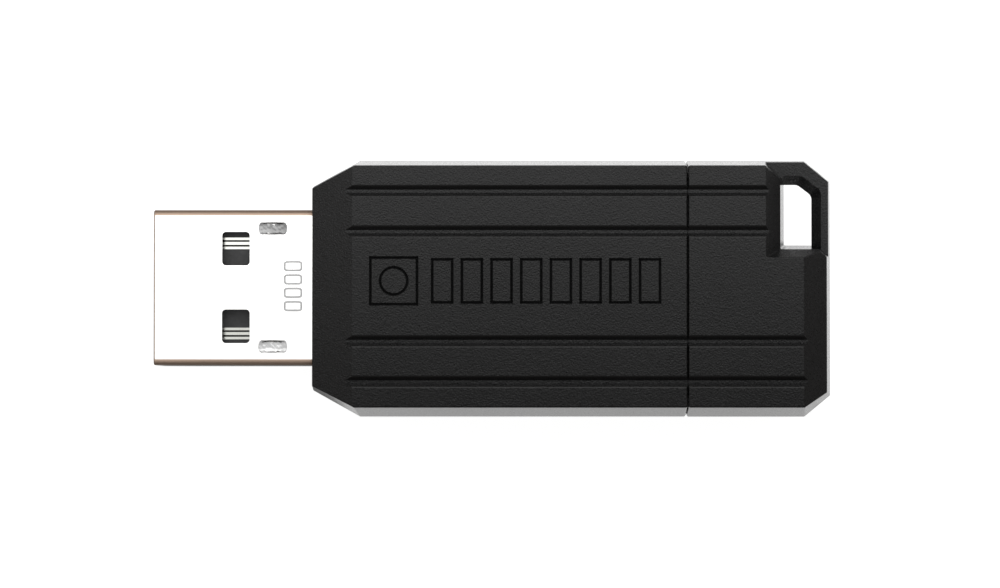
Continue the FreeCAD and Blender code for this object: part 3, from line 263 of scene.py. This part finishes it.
def painted_glow_on_reflections(tree):
    """How bright the table looks in a reflection.

    It is full beside the drive and less far from it, in front of it and at a slant: a painted pool of light
    round the drive. It is dim under the drive, a painted shadow, except where something looks straight down
    through the key loop.
    """
    place = add_node(tree, "ShaderNodeTexCoord")
    split = add_node(tree, "ShaderNodeSeparateXYZ")
    wire(tree, (place.outputs["Object"], split.inputs[0]))
    past_end = arithmetic(tree, "SUBTRACT", arithmetic(tree, "ABSOLUTE", split.outputs[0]), high[0])
    past_side = arithmetic(tree, "SUBTRACT", arithmetic(tree, "ABSOLUTE", split.outputs[1]), high[1])
    away = arithmetic(tree, "MAXIMUM", past_end, past_side)
    near = remap(tree, away, GLOW_NEAR, GLOW_FAR, 1.0, GLOW_LEFT_FAR, smooth=True)
    side = remap(tree, split.outputs[1], low[1], high[1], GLOW_IN_FRONT, 1.0)
    shaded = remap(tree, away, -0.4 * MM, 0.1 * MM, GLOW_IN_PAINTED_SHADOW, 1.0)
    hole_side = high[1] - LOOP_HOLE_SIDE
    hole_front, hole_rear = high[0] - LOOP_HOLE_FRONT, high[0] - LOOP_HOLE_REAR
    in_loop = arithmetic(tree, "MULTIPLY",
                         remap(tree, split.outputs[1], hole_side, hole_side + 0.4 * MM, 0.0, 1.0),
                         remap(tree, split.outputs[0], hole_front, hole_front + 0.2 * MM, 0.0, 1.0))
    in_loop = arithmetic(tree, "MULTIPLY", in_loop,
                         remap(tree, split.outputs[0], hole_rear - 0.3 * MM, hole_rear, 1.0, 0.0))
    slant = add_node(tree, "ShaderNodeLayerWeight", Blend=0.5)
    steep = remap(tree, slant.outputs["Facing"], 0.10, 0.22, 1.0, 0.0)
    by_slant = arithmetic(tree, "MULTIPLY_ADD", steep, 1.0 - GLOW_AT_A_SLANT, GLOW_AT_A_SLANT)
    lit = arithmetic(tree, "MAXIMUM", shaded, arithmetic(tree, "MULTIPLY", in_loop, steep))
    lit = arithmetic(tree, "MULTIPLY", lit, by_slant)
    return arithmetic(tree, "MULTIPLY", arithmetic(tree, "MULTIPLY", near, side), lit)


TABLE_HALF = 1.5                # metres
TABLE_BELOW = 0.02 * MM         # the table stays just clear of the drive
TABLE_SEEN = 0.95               # how bright the table's own glow is to the camera


def make_ground():
    """A light table: a plain pale sheet that glows a little below white, with the rest from the lights."""
    material = bpy.data.materials.new("light_table")
    material.use_nodes = True
    tree = material.node_tree
    surface = tree.nodes["Principled BSDF"]
    surface.inputs["Base Color"].default_value = (0.55, 0.55, 0.55, 1.0)
    surface.inputs["Roughness"].default_value = 0.9
    surface.inputs["Specular IOR Level"].default_value = 0.0
    surface.inputs["Emission Color"].default_value = (1.0, 1.0, 1.0, 1.0)
    path = add_node(tree, "ShaderNodeLightPath")
    seen = arithmetic(tree, "MULTIPLY", path.outputs["Is Camera Ray"], TABLE_SEEN)
    unseen = arithmetic(tree, "SUBTRACT", 1.0, path.outputs["Is Camera Ray"])
    # In reflections the table shows a painted glow: a pool of light round the drive and a painted shadow
    # under it.
    wire(tree, (arithmetic(tree, "MULTIPLY_ADD", unseen, painted_glow_on_reflections(tree), seen),
                surface.inputs["Emission Strength"]))
    place = add_node(tree, "ShaderNodeTexCoord")
    speckle = add_node(tree, "ShaderNodeTexNoise", Scale=900.0, Detail=2.0)
    shade = remap(tree, speckle.outputs["Fac"], 0.3, 0.7, 0.85, 0.95)
    wire(tree, (place.outputs["Object"], speckle.inputs["Vector"]), (shade, surface.inputs["Roughness"]))
    steps = np.linspace(-TABLE_HALF, TABLE_HALF, 9)
    x, y = np.meshgrid(steps, steps)
    points = np.stack([x, y, np.full_like(x, low[2] - TABLE_BELOW)], axis=-1)
    ground = new_object("ground", grid_mesh("ground", points), material)
    return ground


ground = make_ground()
print("ground:", len(ground.data.polygons), "quads")

# %% [markdown]
# ## Shared effects
#
# Two effects appear in more than one finish, so each is a node group with named sockets. Grain is the skin
# that a spark-eroded mould leaves on plastic: small round pits with finer roughness over them. Streaks are
# the fine lines that rolling and polishing leave along sheet metal. Both give out only numbers, and each
# finish decides what the numbers change.


# %% Grain group
def new_group(name, inputs, outputs):
    """An empty shader node group with float inputs (name, value) and float outputs, and its two end nodes."""
    group = bpy.data.node_groups.new(name, "ShaderNodeTree")
    for label, value in inputs:
        socket = group.interface.new_socket(name=label, in_out="INPUT", socket_type="NodeSocketFloat")
        socket.default_value = value
    for label in outputs:
        group.interface.new_socket(name=label, in_out="OUTPUT", socket_type="NodeSocketFloat")
    return group, group.nodes.new("NodeGroupInput"), group.nodes.new("NodeGroupOutput")


def make_grain_group():
    """Grain: pits from a smooth Voronoi pattern and finer noise over them. Size is in grains per metre."""
    group, start, end = new_group("mould_grain", [("Size", 5000.0), ("Mottle Size", 150.0)],
                                  ["Height", "Fleck", "Mottle"])
    place = add_node(group, "ShaderNodeTexCoord")
    pits = add_node(group, "ShaderNodeTexVoronoi", feature="SMOOTH_F1", Smoothness=0.6)
    fine = add_node(group, "ShaderNodeTexNoise", Detail=3.0, Roughness=0.65)
    mottle = add_node(group, "ShaderNodeTexNoise", Detail=3.0, Roughness=0.55)
    fleck_noise = add_node(group, "ShaderNodeTexNoise", Detail=1.0, Roughness=0.5)
    for texture in (pits, fine, mottle, fleck_noise):
        wire(group, (place.outputs["Object"], texture.inputs["Vector"]))
    wire(group, (start.outputs["Size"], pits.inputs["Scale"]),
         (start.outputs["Mottle Size"], mottle.inputs["Scale"]),
         (arithmetic(group, "MULTIPLY", start.outputs["Size"], 1.7), fine.inputs["Scale"]),
         (arithmetic(group, "MULTIPLY", start.outputs["Size"], 0.9), fleck_noise.inputs["Scale"]))
    pit_part = arithmetic(group, "MULTIPLY", pits.outputs["Distance"], 0.6)
    height = arithmetic(group, "MULTIPLY_ADD", fine.outputs["Fac"], 0.5, pit_part)
    fleck = remap(group, fleck_noise.outputs["Fac"], 0.56, 0.70, 0.0, 1.0, smooth=True)
    wire(group, (height, end.inputs["Height"]), (fleck, end.inputs["Fleck"]),
         (mottle.outputs["Fac"], end.inputs["Mottle"]))
    return group


GRAIN = make_grain_group()
print("group:", GRAIN.name)


# %% Streak group
def make_streak_group():
    """Streaks: noise drawn out along X, fine across it. Length and Width are in streaks per metre."""
    group, start, end = new_group("drawn_streaks", [("Length", 60.0), ("Width", 9000.0)], ["Height", "Cloud"])
    place = add_node(group, "ShaderNodeTexCoord")
    scale = add_node(group, "ShaderNodeCombineXYZ")
    stretch = add_node(group, "ShaderNodeVectorMath", operation="MULTIPLY")
    lines = add_node(group, "ShaderNodeTexNoise", Scale=1.0, Detail=3.0, Roughness=0.6)
    cloud = add_node(group, "ShaderNodeTexNoise", Scale=400.0, Detail=3.0, Roughness=0.6)
    wire(group, (start.outputs["Length"], scale.inputs[0]), (start.outputs["Width"], scale.inputs[1]),
         (start.outputs["Width"], scale.inputs[2]), (place.outputs["Object"], stretch.inputs[0]),
         (scale.outputs[0], stretch.inputs[1]), (stretch.outputs[0], lines.inputs["Vector"]),
         (place.outputs["Object"], cloud.inputs["Vector"]), (lines.outputs["Fac"], end.inputs["Height"]),
         (cloud.outputs["Fac"], end.inputs["Cloud"]))
    return group


STREAKS = make_streak_group()
print("group:", STREAKS.name)


# %% Bend mask
BEND_FROM, BEND_FULL = 0.46 * MM, 0.38 * MM     # in from the side wall, where a bend starts and is full
BEND_RAGGED = 0.12 * MM         # how far the mask's edge wanders
MOUTH_FULL, MOUTH_END = 0.08 * MM, 0.13 * MM    # back from the mouth, the band that is its eased edge


def bend_mask(tree, ragged, half_width, mouth_x):
    """1 on the plug's bends and on its mouth's eased edge, and 0 on its flats.

    A bend is where the surface turns away from the axes and lies within a bend's radius of the side walls.
    The mouth's edge is a thin band at the mouth. Dents in the top wall turn too, but lie further in. ragged
    is a socket around 0.5 that moves the mask's edge a little.
    """
    place = add_node(tree, "ShaderNodeTexCoord")
    where = add_node(tree, "ShaderNodeSeparateXYZ")
    size = add_node(tree, "ShaderNodeVectorMath", operation="ABSOLUTE")
    facing = add_node(tree, "ShaderNodeSeparateXYZ")
    wire(tree, (place.outputs["Object"], where.inputs[0]), (place.outputs["Normal"], size.inputs[0]),
         (size.outputs[0], facing.inputs[0]))
    largest = arithmetic(tree, "MAXIMUM", facing.outputs[0], facing.outputs[1])
    largest = arithmetic(tree, "MAXIMUM", largest, facing.outputs[2])
    turn = remap(tree, arithmetic(tree, "SUBTRACT", 1.0, largest), 0.0006, 0.012, 0.0, 1.0, smooth=True)
    across = arithmetic(tree, "ABSOLUTE", where.outputs[1])
    across = arithmetic(tree, "MULTIPLY_ADD", ragged, BEND_RAGGED, across)
    at_side = remap(tree, across, half_width - BEND_FROM, half_width - BEND_FULL, 0.0, 1.0)
    at_mouth = remap(tree, where.outputs[0], mouth_x + MOUTH_END, mouth_x + MOUTH_FULL, 0.0, 1.0)
    return arithmetic(tree, "MULTIPLY", turn, arithmetic(tree, "MAXIMUM", at_side, at_mouth))


PLUG_LOW, PLUG_HIGH = (np.array(corner, float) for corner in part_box("plug_shell"))
print("plug:", np.round((PLUG_HIGH - PLUG_LOW) / MM, 2), "mm")

# %% [markdown]
# ## Moulded plastic
#
# The sleeve and the end cap are black plastic from a spark-eroded mould. The colour is nearly nothing; the
# grain does the work. It is bump, because its pits are a few hundredths of a millimetre deep, and it also
# shifts the roughness, so that some grains glint. A slow mottle keeps large flat faces from looking
# painted.


# %% Plastic finishes
def place_group(tree, group, **values):
    """Puts a shared effect into a material and sets its named inputs."""
    node = tree.nodes.new("ShaderNodeGroup")
    node.node_tree = group
    for name, value in values.items():
        node.inputs[name.replace("_", " ")].default_value = value
    return node


def start_material(name):
    """A new material, its node tree and its surface shader."""
    material = bpy.data.materials.new(name)
    material.use_nodes = True
    return material, material.node_tree, material.node_tree.nodes["Principled BSDF"]


def mix_colours(tree, factor, first, second):
    """Mixes two plain colours by a socket from 0 to 1."""
    node = add_node(tree, "ShaderNodeMix", data_type="RGBA")
    node.inputs[6].default_value = (*first, 1.0)
    node.inputs[7].default_value = (*second, 1.0)
    tree.links.new(factor, node.inputs["Factor"])
    return node.outputs[2]


def bump_from(tree, height, distance, surface):
    """Raises the surface's shading by a height from 0 to 1, over a distance."""
    bump = add_node(tree, "ShaderNodeBump", Strength=1.0, Distance=distance)
    wire(tree, (height, bump.inputs["Height"]), (bump.outputs["Normal"], surface.inputs["Normal"]))


def upright_mask(tree):
    """1 on faces that stand nearly upright and 0 on flat ones, from the surface's own direction."""
    place = add_node(tree, "ShaderNodeTexCoord")
    split = add_node(tree, "ShaderNodeSeparateXYZ")
    wire(tree, (place.outputs["Normal"], split.inputs[0]))
    return remap(tree, arithmetic(tree, "ABSOLUTE", split.outputs[2]), 0.2, 0.4, 1.0, 0.0, smooth=True)


SIDE_GRAIN_LOST = 0.85          # share of the grain that upright walls do without


def moulded_plastic(name, dark, light, roughness, grain_size, grain_depth, fleck_gain=0.08,
                    side_roughness=None):
    """Grained plastic: colour by mottle, roughness by grain and fleck, and pits as bump.

    side_roughness, where given, is the roughness of upright walls, which also have less grain.
    """
    material, tree, surface = start_material(name)
    grain = place_group(tree, GRAIN, Size=grain_size)
    tint = remap(tree, grain.outputs["Mottle"], 0.35, 0.65, 0.0, 1.0)
    wire(tree, (mix_colours(tree, tint, dark, light), surface.inputs["Base Color"]))
    base = remap(tree, grain.outputs["Height"], 0.2, 0.8, roughness - 0.05, roughness + 0.05)
    glint = arithmetic(tree, "MULTIPLY", grain.outputs["Fleck"], fleck_gain)
    rough = arithmetic(tree, "SUBTRACT", base, glint)
    if side_roughness is None:
        wire(tree, (rough, surface.inputs["Roughness"]))
        bump_from(tree, grain.outputs["Height"], grain_depth, surface)
        return material
    side = upright_mask(tree)
    drop = arithmetic(tree, "MULTIPLY", side, roughness - side_roughness)
    wire(tree, (arithmetic(tree, "SUBTRACT", rough, drop), surface.inputs["Roughness"]))
    flatten = arithmetic(tree, "MULTIPLY_ADD", side, -SIDE_GRAIN_LOST, 1.0)
    bump_from(tree, arithmetic(tree, "MULTIPLY", grain.outputs["Height"], flatten), grain_depth, surface)
    return material


BODY_PLASTIC = moulded_plastic("spark_eroded_black", (0.0045, 0.0045, 0.0048), (0.0065, 0.0065, 0.0068),
                               0.38, 9000.0, 0.040 * MM, fleck_gain=0.24, side_roughness=0.16)
CARRIAGE_PLASTIC = moulded_plastic("satin_black", (0.008, 0.008, 0.009), (0.011, 0.011, 0.012),
                                   0.38, 8000.0, 0.004 * MM)
INSULATOR_PLASTIC = moulded_plastic("insulator_black", (0.010, 0.010, 0.011), (0.016, 0.016, 0.017),
                                    0.45, 4200.0, 0.012 * MM)
CHIP_PLASTIC = moulded_plastic("moulded_epoxy", (0.012, 0.012, 0.013), (0.018, 0.018, 0.019),
                               0.55, 9000.0, 0.006 * MM)
print("plastics:", BODY_PLASTIC.name, CARRIAGE_PLASTIC.name, INSULATOR_PLASTIC.name, CHIP_PLASTIC.name)

# %% [markdown]
# ## Plated metal
#
# The plug is folded from nickel-plated steel. Its flat faces are bright satin, with streaks along the drive
# from rolling. Where the sheet turns round a bend it reflects the dim, warm room, and a mask that reads the
# surface's direction paints the bends a darker brown: painted shade and reflection. The contacts are pale
# plate with flutes painted dark as painted shade, the leads are tinned, and the crystal sits in a bright can.


# %% Metal finishes
def drawn_metal(name, colour, cloudy, roughness, depth, bends=None, length=60.0, width=9000.0):
    """Metal with streaks along X, which shift the roughness and raise a fine bump.

    Where bends are given, the first is the bends' colour, a darker brown that is painted shade and
    reflection, and the second their roughness.
    """
    material, tree, surface = start_material(name)
    surface.inputs["Metallic"].default_value = 1.0
    streaks = place_group(tree, STREAKS, Length=length, Width=width)
    tint = remap(tree, streaks.outputs["Cloud"], 0.35, 0.65, 0.0, 1.0)
    face = mix_colours(tree, tint, colour, cloudy)
    rough = remap(tree, streaks.outputs["Height"], 0.3, 0.7, roughness - 0.04, roughness + 0.06)
    if bends:
        bend_shade_colour, bend_roughness = bends
        mask = bend_mask(tree, streaks.outputs["Cloud"], PLUG_HIGH[1], PLUG_LOW[0])
        line = remap(tree, streaks.outputs["Height"], 0.35, 0.65, 0.75, 1.15)
        # The bends' colour is painted shade and reflection: a darker brown standing in for the dim, warm room
        # the bends reflect.
        painted_bend_shade = add_node(tree, "ShaderNodeVectorMath", operation="SCALE")
        painted_bend_shade.inputs[0].default_value = bend_shade_colour
        mixed = add_node(tree, "ShaderNodeMix", data_type="RGBA")
        wire(tree, (line, painted_bend_shade.inputs["Scale"]), (mask, mixed.inputs["Factor"]), (face, mixed.inputs[6]),
             (painted_bend_shade.outputs[0], mixed.inputs[7]))
        face = mixed.outputs[2]
        rough = arithmetic(tree, "MULTIPLY_ADD", mask, bend_roughness - roughness, rough)
    wire(tree, (face, surface.inputs["Base Color"]))
    wire(tree, (rough, surface.inputs["Roughness"]))
    bump_from(tree, streaks.outputs["Height"], depth, surface)
    return material


# The bends' brown (0.40, 0.30, 0.235) is painted shade and reflection, not a colour of the plating.
PLUG_STEEL = drawn_metal("nickel_plate", (0.88, 0.875, 0.865), (0.82, 0.815, 0.81), 0.17, 0.0012 * MM,
                         bends=((0.40, 0.30, 0.235), 0.5))


# Painted shade on the contacts' flutes: this dark colour stands in for the shade in the tilted flute walls.
FLUTE_PAINTED_SHADE = (0.06, 0.055, 0.05, 1.0)


def contact_plate():
    """Drawn metal whose flutes are painted dark: where the surface tips away from level, a dark colour stands
    in for the shade in the flutes.
    """
    material = drawn_metal("contact_plate", (0.50, 0.505, 0.475), (0.45, 0.45, 0.42), 0.14, 0.0010 * MM,
                           width=14000.0)
    tree = material.node_tree
    surface = tree.nodes["Principled BSDF"]
    place = add_node(tree, "ShaderNodeTexCoord")
    split = add_node(tree, "ShaderNodeSeparateXYZ")
    wire(tree, (place.outputs["Normal"], split.inputs[0]))
    tipped = remap(tree, arithmetic(tree, "ABSOLUTE", split.outputs[2]), 0.85, 0.6, 0.0, 1.0)
    plate = surface.inputs["Base Color"].links[0].from_socket
    mixed = add_node(tree, "ShaderNodeMix", data_type="RGBA")
    mixed.inputs[7].default_value = FLUTE_PAINTED_SHADE
    wire(tree, (tipped, mixed.inputs["Factor"]), (plate, mixed.inputs[6]),
         (mixed.outputs[2], surface.inputs["Base Color"]))
    return material


CONTACT_METAL = contact_plate()
TIN = drawn_metal("tin_plate", (0.72, 0.72, 0.71), (0.60, 0.60, 0.60), 0.30, 0.0015 * MM)
CRYSTAL_CAN = drawn_metal("crystal_can", (0.78, 0.77, 0.74), (0.70, 0.69, 0.66), 0.25, 0.0010 * MM)
print("metals:", PLUG_STEEL.name, CONTACT_METAL.name, TIN.name, CRYSTAL_CAN.name)

# %% [markdown]
# ## Finishes inside
#
# The board is green solder mask over glass cloth, which shows as a faint weave. Capacitors are tan ceramic
# and resistors are black film. Solder is tin with a smooth, slightly wavy skin.


# %% Board and component finishes
def solder_mask():
    """Green lacquer over a faint weave: two crossed waves give the cloth's threads."""
    material, tree, surface = start_material("green_solder_mask")
    place = add_node(tree, "ShaderNodeTexCoord")
    weave_along = add_node(tree, "ShaderNodeTexWave", Scale=900.0, Distortion=1.0)
    weave_across = add_node(tree, "ShaderNodeTexWave", bands_direction="Y", Scale=900.0, Distortion=1.0)
    wire(tree, (place.outputs["Object"], weave_along.inputs["Vector"]),
         (place.outputs["Object"], weave_across.inputs["Vector"]))
    weave = arithmetic(tree, "MULTIPLY", weave_along.outputs["Fac"], weave_across.outputs["Fac"])
    green = mix_colours(tree, weave, (0.008, 0.085, 0.035), (0.012, 0.115, 0.048))
    wire(tree, (green, surface.inputs["Base Color"]),
         (remap(tree, weave, 0.0, 1.0, 0.25, 0.36), surface.inputs["Roughness"]))
    surface.inputs["Coat Weight"].default_value = 0.4
    bump_from(tree, weave, 0.003 * MM, surface)
    return material


SOLDER_MASK = solder_mask()
CAPACITOR = moulded_plastic("fired_ceramic", (0.36, 0.24, 0.15), (0.44, 0.31, 0.20), 0.45, 7000.0, 0.004 * MM)
RESISTOR = moulded_plastic("resistor_film", (0.015, 0.015, 0.018), (0.025, 0.025, 0.028), 0.35, 7000.0,
                           0.003 * MM)
SOLDER = drawn_metal("solder", (0.74, 0.74, 0.73), (0.62, 0.62, 0.62), 0.22, 0.004 * MM, length=2500.0,
                     width=2500.0)
print("inside:", SOLDER_MASK.name, CAPACITOR.name, RESISTOR.name, SOLDER.name)

# %% [markdown]
# ## Dressing the parts
#
# A part keeps its shape and takes a finish by putting it in its material slots. One table says which parts
# wear each finish, and a loop does the rest. The last line names any part that was forgotten.

# %% Give every part its finish
FINISHES = {
    BODY_PLASTIC: ["sleeve_upper_shell", "sleeve_lower_shell", "end_cap_upper_shell", "end_cap_lower_shell"],
    CARRIAGE_PLASTIC: ["carriage_tray", "carriage_lid"],
    PLUG_STEEL: ["plug_shell"],
    INSULATOR_PLASTIC: ["plug_insulator"],
    CONTACT_METAL: ["contact_power", "contact_data_minus", "contact_data_plus", "contact_ground"],
    SOLDER_MASK: ["circuit_board"],
    CHIP_PLASTIC: ["memory_chip", "controller_chip", "voltage_regulator"],
    TIN: ["memory_chip_leads", "controller_chip_leads"],
    CRYSTAL_CAN: ["clock_crystal"],
    CAPACITOR: ["capacitors"],
    RESISTOR: ["resistors"],
    SOLDER: ["solder_joints"],
}


def dress(node, material):
    """Replaces a part's materials with one finish."""
    NODES[node].data.materials.clear()
    NODES[node].data.materials.append(material)


for finish, parts in FINISHES.items():
    for part in parts:
        dress(part, finish)
dressed = {part for parts in FINISHES.values() for part in parts}
print("dressed:", len(dressed), "parts, left over:", sorted(set(NODES) - dressed))

# %% [markdown]
# ## Dents in the plug
#
# Two locating dents are struck into the plug's top wall. The punch leaves their floor crumpled, with a soft
# rim. Each is a thin dish of its own that lies in the dent: its depth is a function of how far a point is
# from the middle, with a few ripples on it, so part of its shading is real shape. The rest is painted shade:
# both dishes are coloured darker than the plug, one darker than the other.


# %% Dish surface
def closed_sheet(top, thickness):
    """A closed mesh from a top surface given as rings of points, from its middle to its rim.

    The underside has the same rings in the other order, lower by the thickness. Every point is joined to its
    neighbours on its own ring and on the next, and both middles are closed with a fan.
    """
    under = top[::-1] - np.array([0.0, 0.0, thickness])
    rings = np.concatenate([top, under])
    count, around = rings.shape[:2]
    index = np.arange(count * around).reshape(count, around)
    following = np.roll(index, -1, axis=1)
    quads = np.stack([index[:-1], index[1:], following[1:], following[:-1]], axis=-1).reshape(-1, 4)
    poles = np.stack([rings[0].mean(axis=0), rings[-1].mean(axis=0)])
    first, last = count * around, count * around + 1
    fan_top = np.stack([np.full(around, first), index[0], following[0]], axis=-1)
    fan_under = np.stack([np.full(around, last), following[-1], index[-1]], axis=-1)
    points = np.concatenate([rings.reshape(-1, 3), poles])
    return points, quads.tolist() + fan_top.tolist() + fan_under.tolist()


RIPPLE_LENGTHS = np.array([0.085, 0.16, 0.070, 0.21, 0.055]) * MM     # along X, Y, Y, X and slantwise


def dish_points(centre, half_length, half_width, bluntness, depth, ripple, seed):
    """Top of a dent, on rings and spokes.

    At radius r (0 in the middle, 1 at the rim) and angle a, x and y go out along an ellipse with blunt ends:
    x = half_length * r * sgn(cos a) * |cos a|^b and y = half_width * r * sgn(sin a) * |sin a|^b, with b the
    bluntness. z is -depth * (1 - r^6)^1.5 * (1 - 0.35 r^2), plus ripple times waves that fade by 1 - r^6.
    """
    radii = np.linspace(0.02, 1.0, 40)
    angles = np.linspace(0.0, 2 * np.pi, 96, endpoint=False)
    r, a = np.meshgrid(radii, angles, indexing="ij")
    x = half_length * r * np.sign(np.cos(a)) * np.abs(np.cos(a)) ** bluntness
    y = half_width * r * np.sign(np.sin(a)) * np.abs(np.sin(a)) ** bluntness
    fade = 1 - r ** 6
    phases = np.random.default_rng(seed).uniform(0, 2 * np.pi, 6)
    length = RIPPLE_LENGTHS
    waves = (np.sin(x / length[0] + phases[0] + 2 * np.sin(y / length[1] + phases[1]))
             + np.sin(y / length[2] + phases[2] + 1.5 * np.sin(x / length[3] + phases[3]))
             + np.sin((x + y) / length[4] + phases[4]) * 0.6)
    z = -depth * fade ** 1.5 * (1 - 0.35 * r ** 2) + ripple * fade * waves / 2.6
    return np.stack([centre[0] + x, centre[1] + y, centre[2] + z], axis=-1)


DENT_AT = 9.2 * MM              # back from the plug's mouth
DENT_SIDE = 4.56 * MM           # out from the plug's middle line
DENT_HALF_LENGTH = 1.12 * MM
DENT_HALF_WIDTH = 0.49 * MM
DENT_BLUNTNESS = 0.6            # 1 gives an ellipse, less gives squarer ends
DENT_DEPTH = 0.13 * MM
DENT_RIPPLE = 0.018 * MM
SHEET_PROUD = 0.003 * MM        # the dish's rim above the plug's top
SHEET_THICK = 0.02 * MM


def struck_steel(name, colour, cloudy):
    """Crumpled plate: the same metal with short, coarse streaks, in a darker colour that is painted shade."""
    return drawn_metal(name, (colour,) * 3, (cloudy,) * 3, 0.25, 0.006 * MM, length=3000.0, width=5000.0)


# Both dents' finishes are painted shade: darker than the plug's steel, and one dent's floor darker than the
# other's.
DENTS = [                       # name, side and finish: one dent's floor is darker than the other's
    ("plug_dent_left", 1, struck_steel("struck_steel_deeper_painted_shade", 0.25, 0.11)),
    ("plug_dent_right", -1, struck_steel("struck_steel_painted_shade", 0.54, 0.27)),
]


# %% Make the dents
def add_piece(name, points, faces, material, body, slot):
    """A finished piece from points and faces, in the given material and riding on a body. slot is not used.
    """
    mesh = bpy.data.meshes.new(name)
    mesh.from_pydata(points.tolist(), [], faces)
    mesh.polygons.foreach_set("use_smooth", np.ones(len(mesh.polygons), dtype=bool))
    mesh.update()
    piece = new_object(name, mesh, material)
    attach(piece, body)
    return piece


dents = []
for seed, (name, side, steel) in enumerate(DENTS):
    middle = (PLUG_LOW[0] + DENT_AT, side * DENT_SIDE, PLUG_HIGH[2] + SHEET_PROUD)
    dish = dish_points(middle, DENT_HALF_LENGTH, DENT_HALF_WIDTH, DENT_BLUNTNESS, DENT_DEPTH, DENT_RIPPLE,
                       seed)
    dents.append(add_piece(name, *closed_sheet(dish, SHEET_THICK), steel, "drive", "plug_steel"))
    print(name, len(dents[-1].data.polygons), "faces")

# %% [markdown]
# ## Etched mark
#
# A laser leaves a pale grey line a few thousandths of a millimetre proud of the plating. A row of four open
# boxes stands here, across the plug. Each box is one closed strand: a flat oval section carried round a
# rounded rectangle.


# %% Strand round a rounded rectangle
def box_path(half_length, half_width, roundness, count):
    """Points and outward directions round a rounded rectangle: |x/a|^n + |y/b|^n = 1, by angle t.

    x = a * sgn(cos t) * |cos t|^(2/n) and y = b * sgn(sin t) * |sin t|^(2/n), with n the roundness. The
    outward direction is the path's own, turned by a quarter.
    """
    t = np.linspace(0.0, 2 * np.pi, count, endpoint=False)
    x = half_length * np.sign(np.cos(t)) * np.abs(np.cos(t)) ** (2 / roundness)
    y = half_width * np.sign(np.sin(t)) * np.abs(np.sin(t)) ** (2 / roundness)
    points = np.stack([x, y], axis=-1)
    along = np.roll(points, -1, axis=0) - np.roll(points, 1, axis=0)
    outward = np.stack([along[:, 1], -along[:, 0]], axis=-1)
    return points, outward / np.linalg.norm(outward, axis=1, keepdims=True)


def strand_loop(centre, path, outward, half_width, proud, section_count):
    """A closed strand: an oval section carried round the path. Returns points and quads.

    At angle u of the section, a point lies half_width * cos u out from the path and proud * sin u above it.
    """
    turn = np.linspace(0.0, 2 * np.pi, section_count, endpoint=False)
    off = half_width * np.cos(turn)
    up = proud * np.sin(turn)
    flat = path[:, None, :] + outward[:, None, :] * off[None, :, None]
    upward = np.broadcast_to(up[None, :, None], flat.shape[:2] + (1,))
    points = np.concatenate([flat, upward], axis=-1) + centre
    index = np.arange(len(path) * section_count).reshape(len(path), section_count)
    along = np.roll(index, -1, axis=0)
    quads = np.stack([index, along, np.roll(along, -1, axis=1), np.roll(index, -1, axis=1)], axis=-1)
    return points.reshape(-1, 3), quads.reshape(-1, 4)


# %% Make the mark
def laser_grey():
    """The laser's line: frosted grey metal, mottled by a fine noise."""
    material, tree, surface = start_material("laser_grey")
    surface.inputs["Metallic"].default_value = 0.3
    grain = place_group(tree, GRAIN, Size=9000.0, Mottle_Size=2500.0)
    tint = remap(tree, grain.outputs["Mottle"], 0.35, 0.65, 0.0, 1.0)
    grey = mix_colours(tree, tint, (0.30, 0.30, 0.30), (0.36, 0.36, 0.36))
    wire(tree, (grey, surface.inputs["Base Color"]),
         (remap(tree, grain.outputs["Height"], 0.2, 0.8, 0.5, 0.65), surface.inputs["Roughness"]))
    bump_from(tree, grain.outputs["Height"], 0.002 * MM, surface)
    return material


MARK_AT = 10.76 * MM            # back from the plug's mouth
MARK_Y = 0.1 * MM               # the row's middle, off the drive's middle line
MARK_HALF_HEIGHT = 0.64 * MM
MARK_HALF_WIDTH = 0.33 * MM
MARK_PITCH = 1.03 * MM
MARK_COUNT = 4
MARK_ROUNDNESS = 6.0            # 2 gives an ellipse, more gives squarer corners
MARK_LINE = 0.076 * MM          # half the width of a line
MARK_PROUD = 0.004 * MM
path, outward = box_path(MARK_HALF_HEIGHT, MARK_HALF_WIDTH, MARK_ROUNDNESS, 120)
strands = []
for i in range(MARK_COUNT):
    shift = (i - (MARK_COUNT - 1) / 2) * MARK_PITCH
    middle = np.array([PLUG_LOW[0] + MARK_AT, MARK_Y + shift, PLUG_HIGH[2]])
    strands.append(strand_loop(middle, path, outward, MARK_LINE, MARK_PROUD, 10))
points = np.concatenate([strand[0] for strand in strands])
faces = np.concatenate([strand[1] + number * len(strand[0]) for number, strand in enumerate(strands)])
mark = add_piece("etched_row", points, faces.tolist(), laser_grey(), "drive", "plug_steel")
print(mark.name, len(mark.data.polygons), "faces")

# %% [markdown]
# ## Whose light is whose
#
# Steel wants a bright card right over it, and black plastic beside it would turn grey under the same card.
# In a studio a black flag keeps them apart. Here the light's own list of receivers does: the plug's card
# lights the plug and what is seen in it.

# %% Flag the plug's card
PLUG_PARTS = ["plug_shell", "plug_insulator", *FINISHES[CONTACT_METAL]]
plug_lit = bpy.data.collections.new("lit_by_plug_card")
for node in PLUG_PARTS:
    plug_lit.objects.link(NODES[node])
for piece in (*dents, mark):
    plug_lit.objects.link(piece)
plug_card.light_linking.receiver_collection = plug_lit
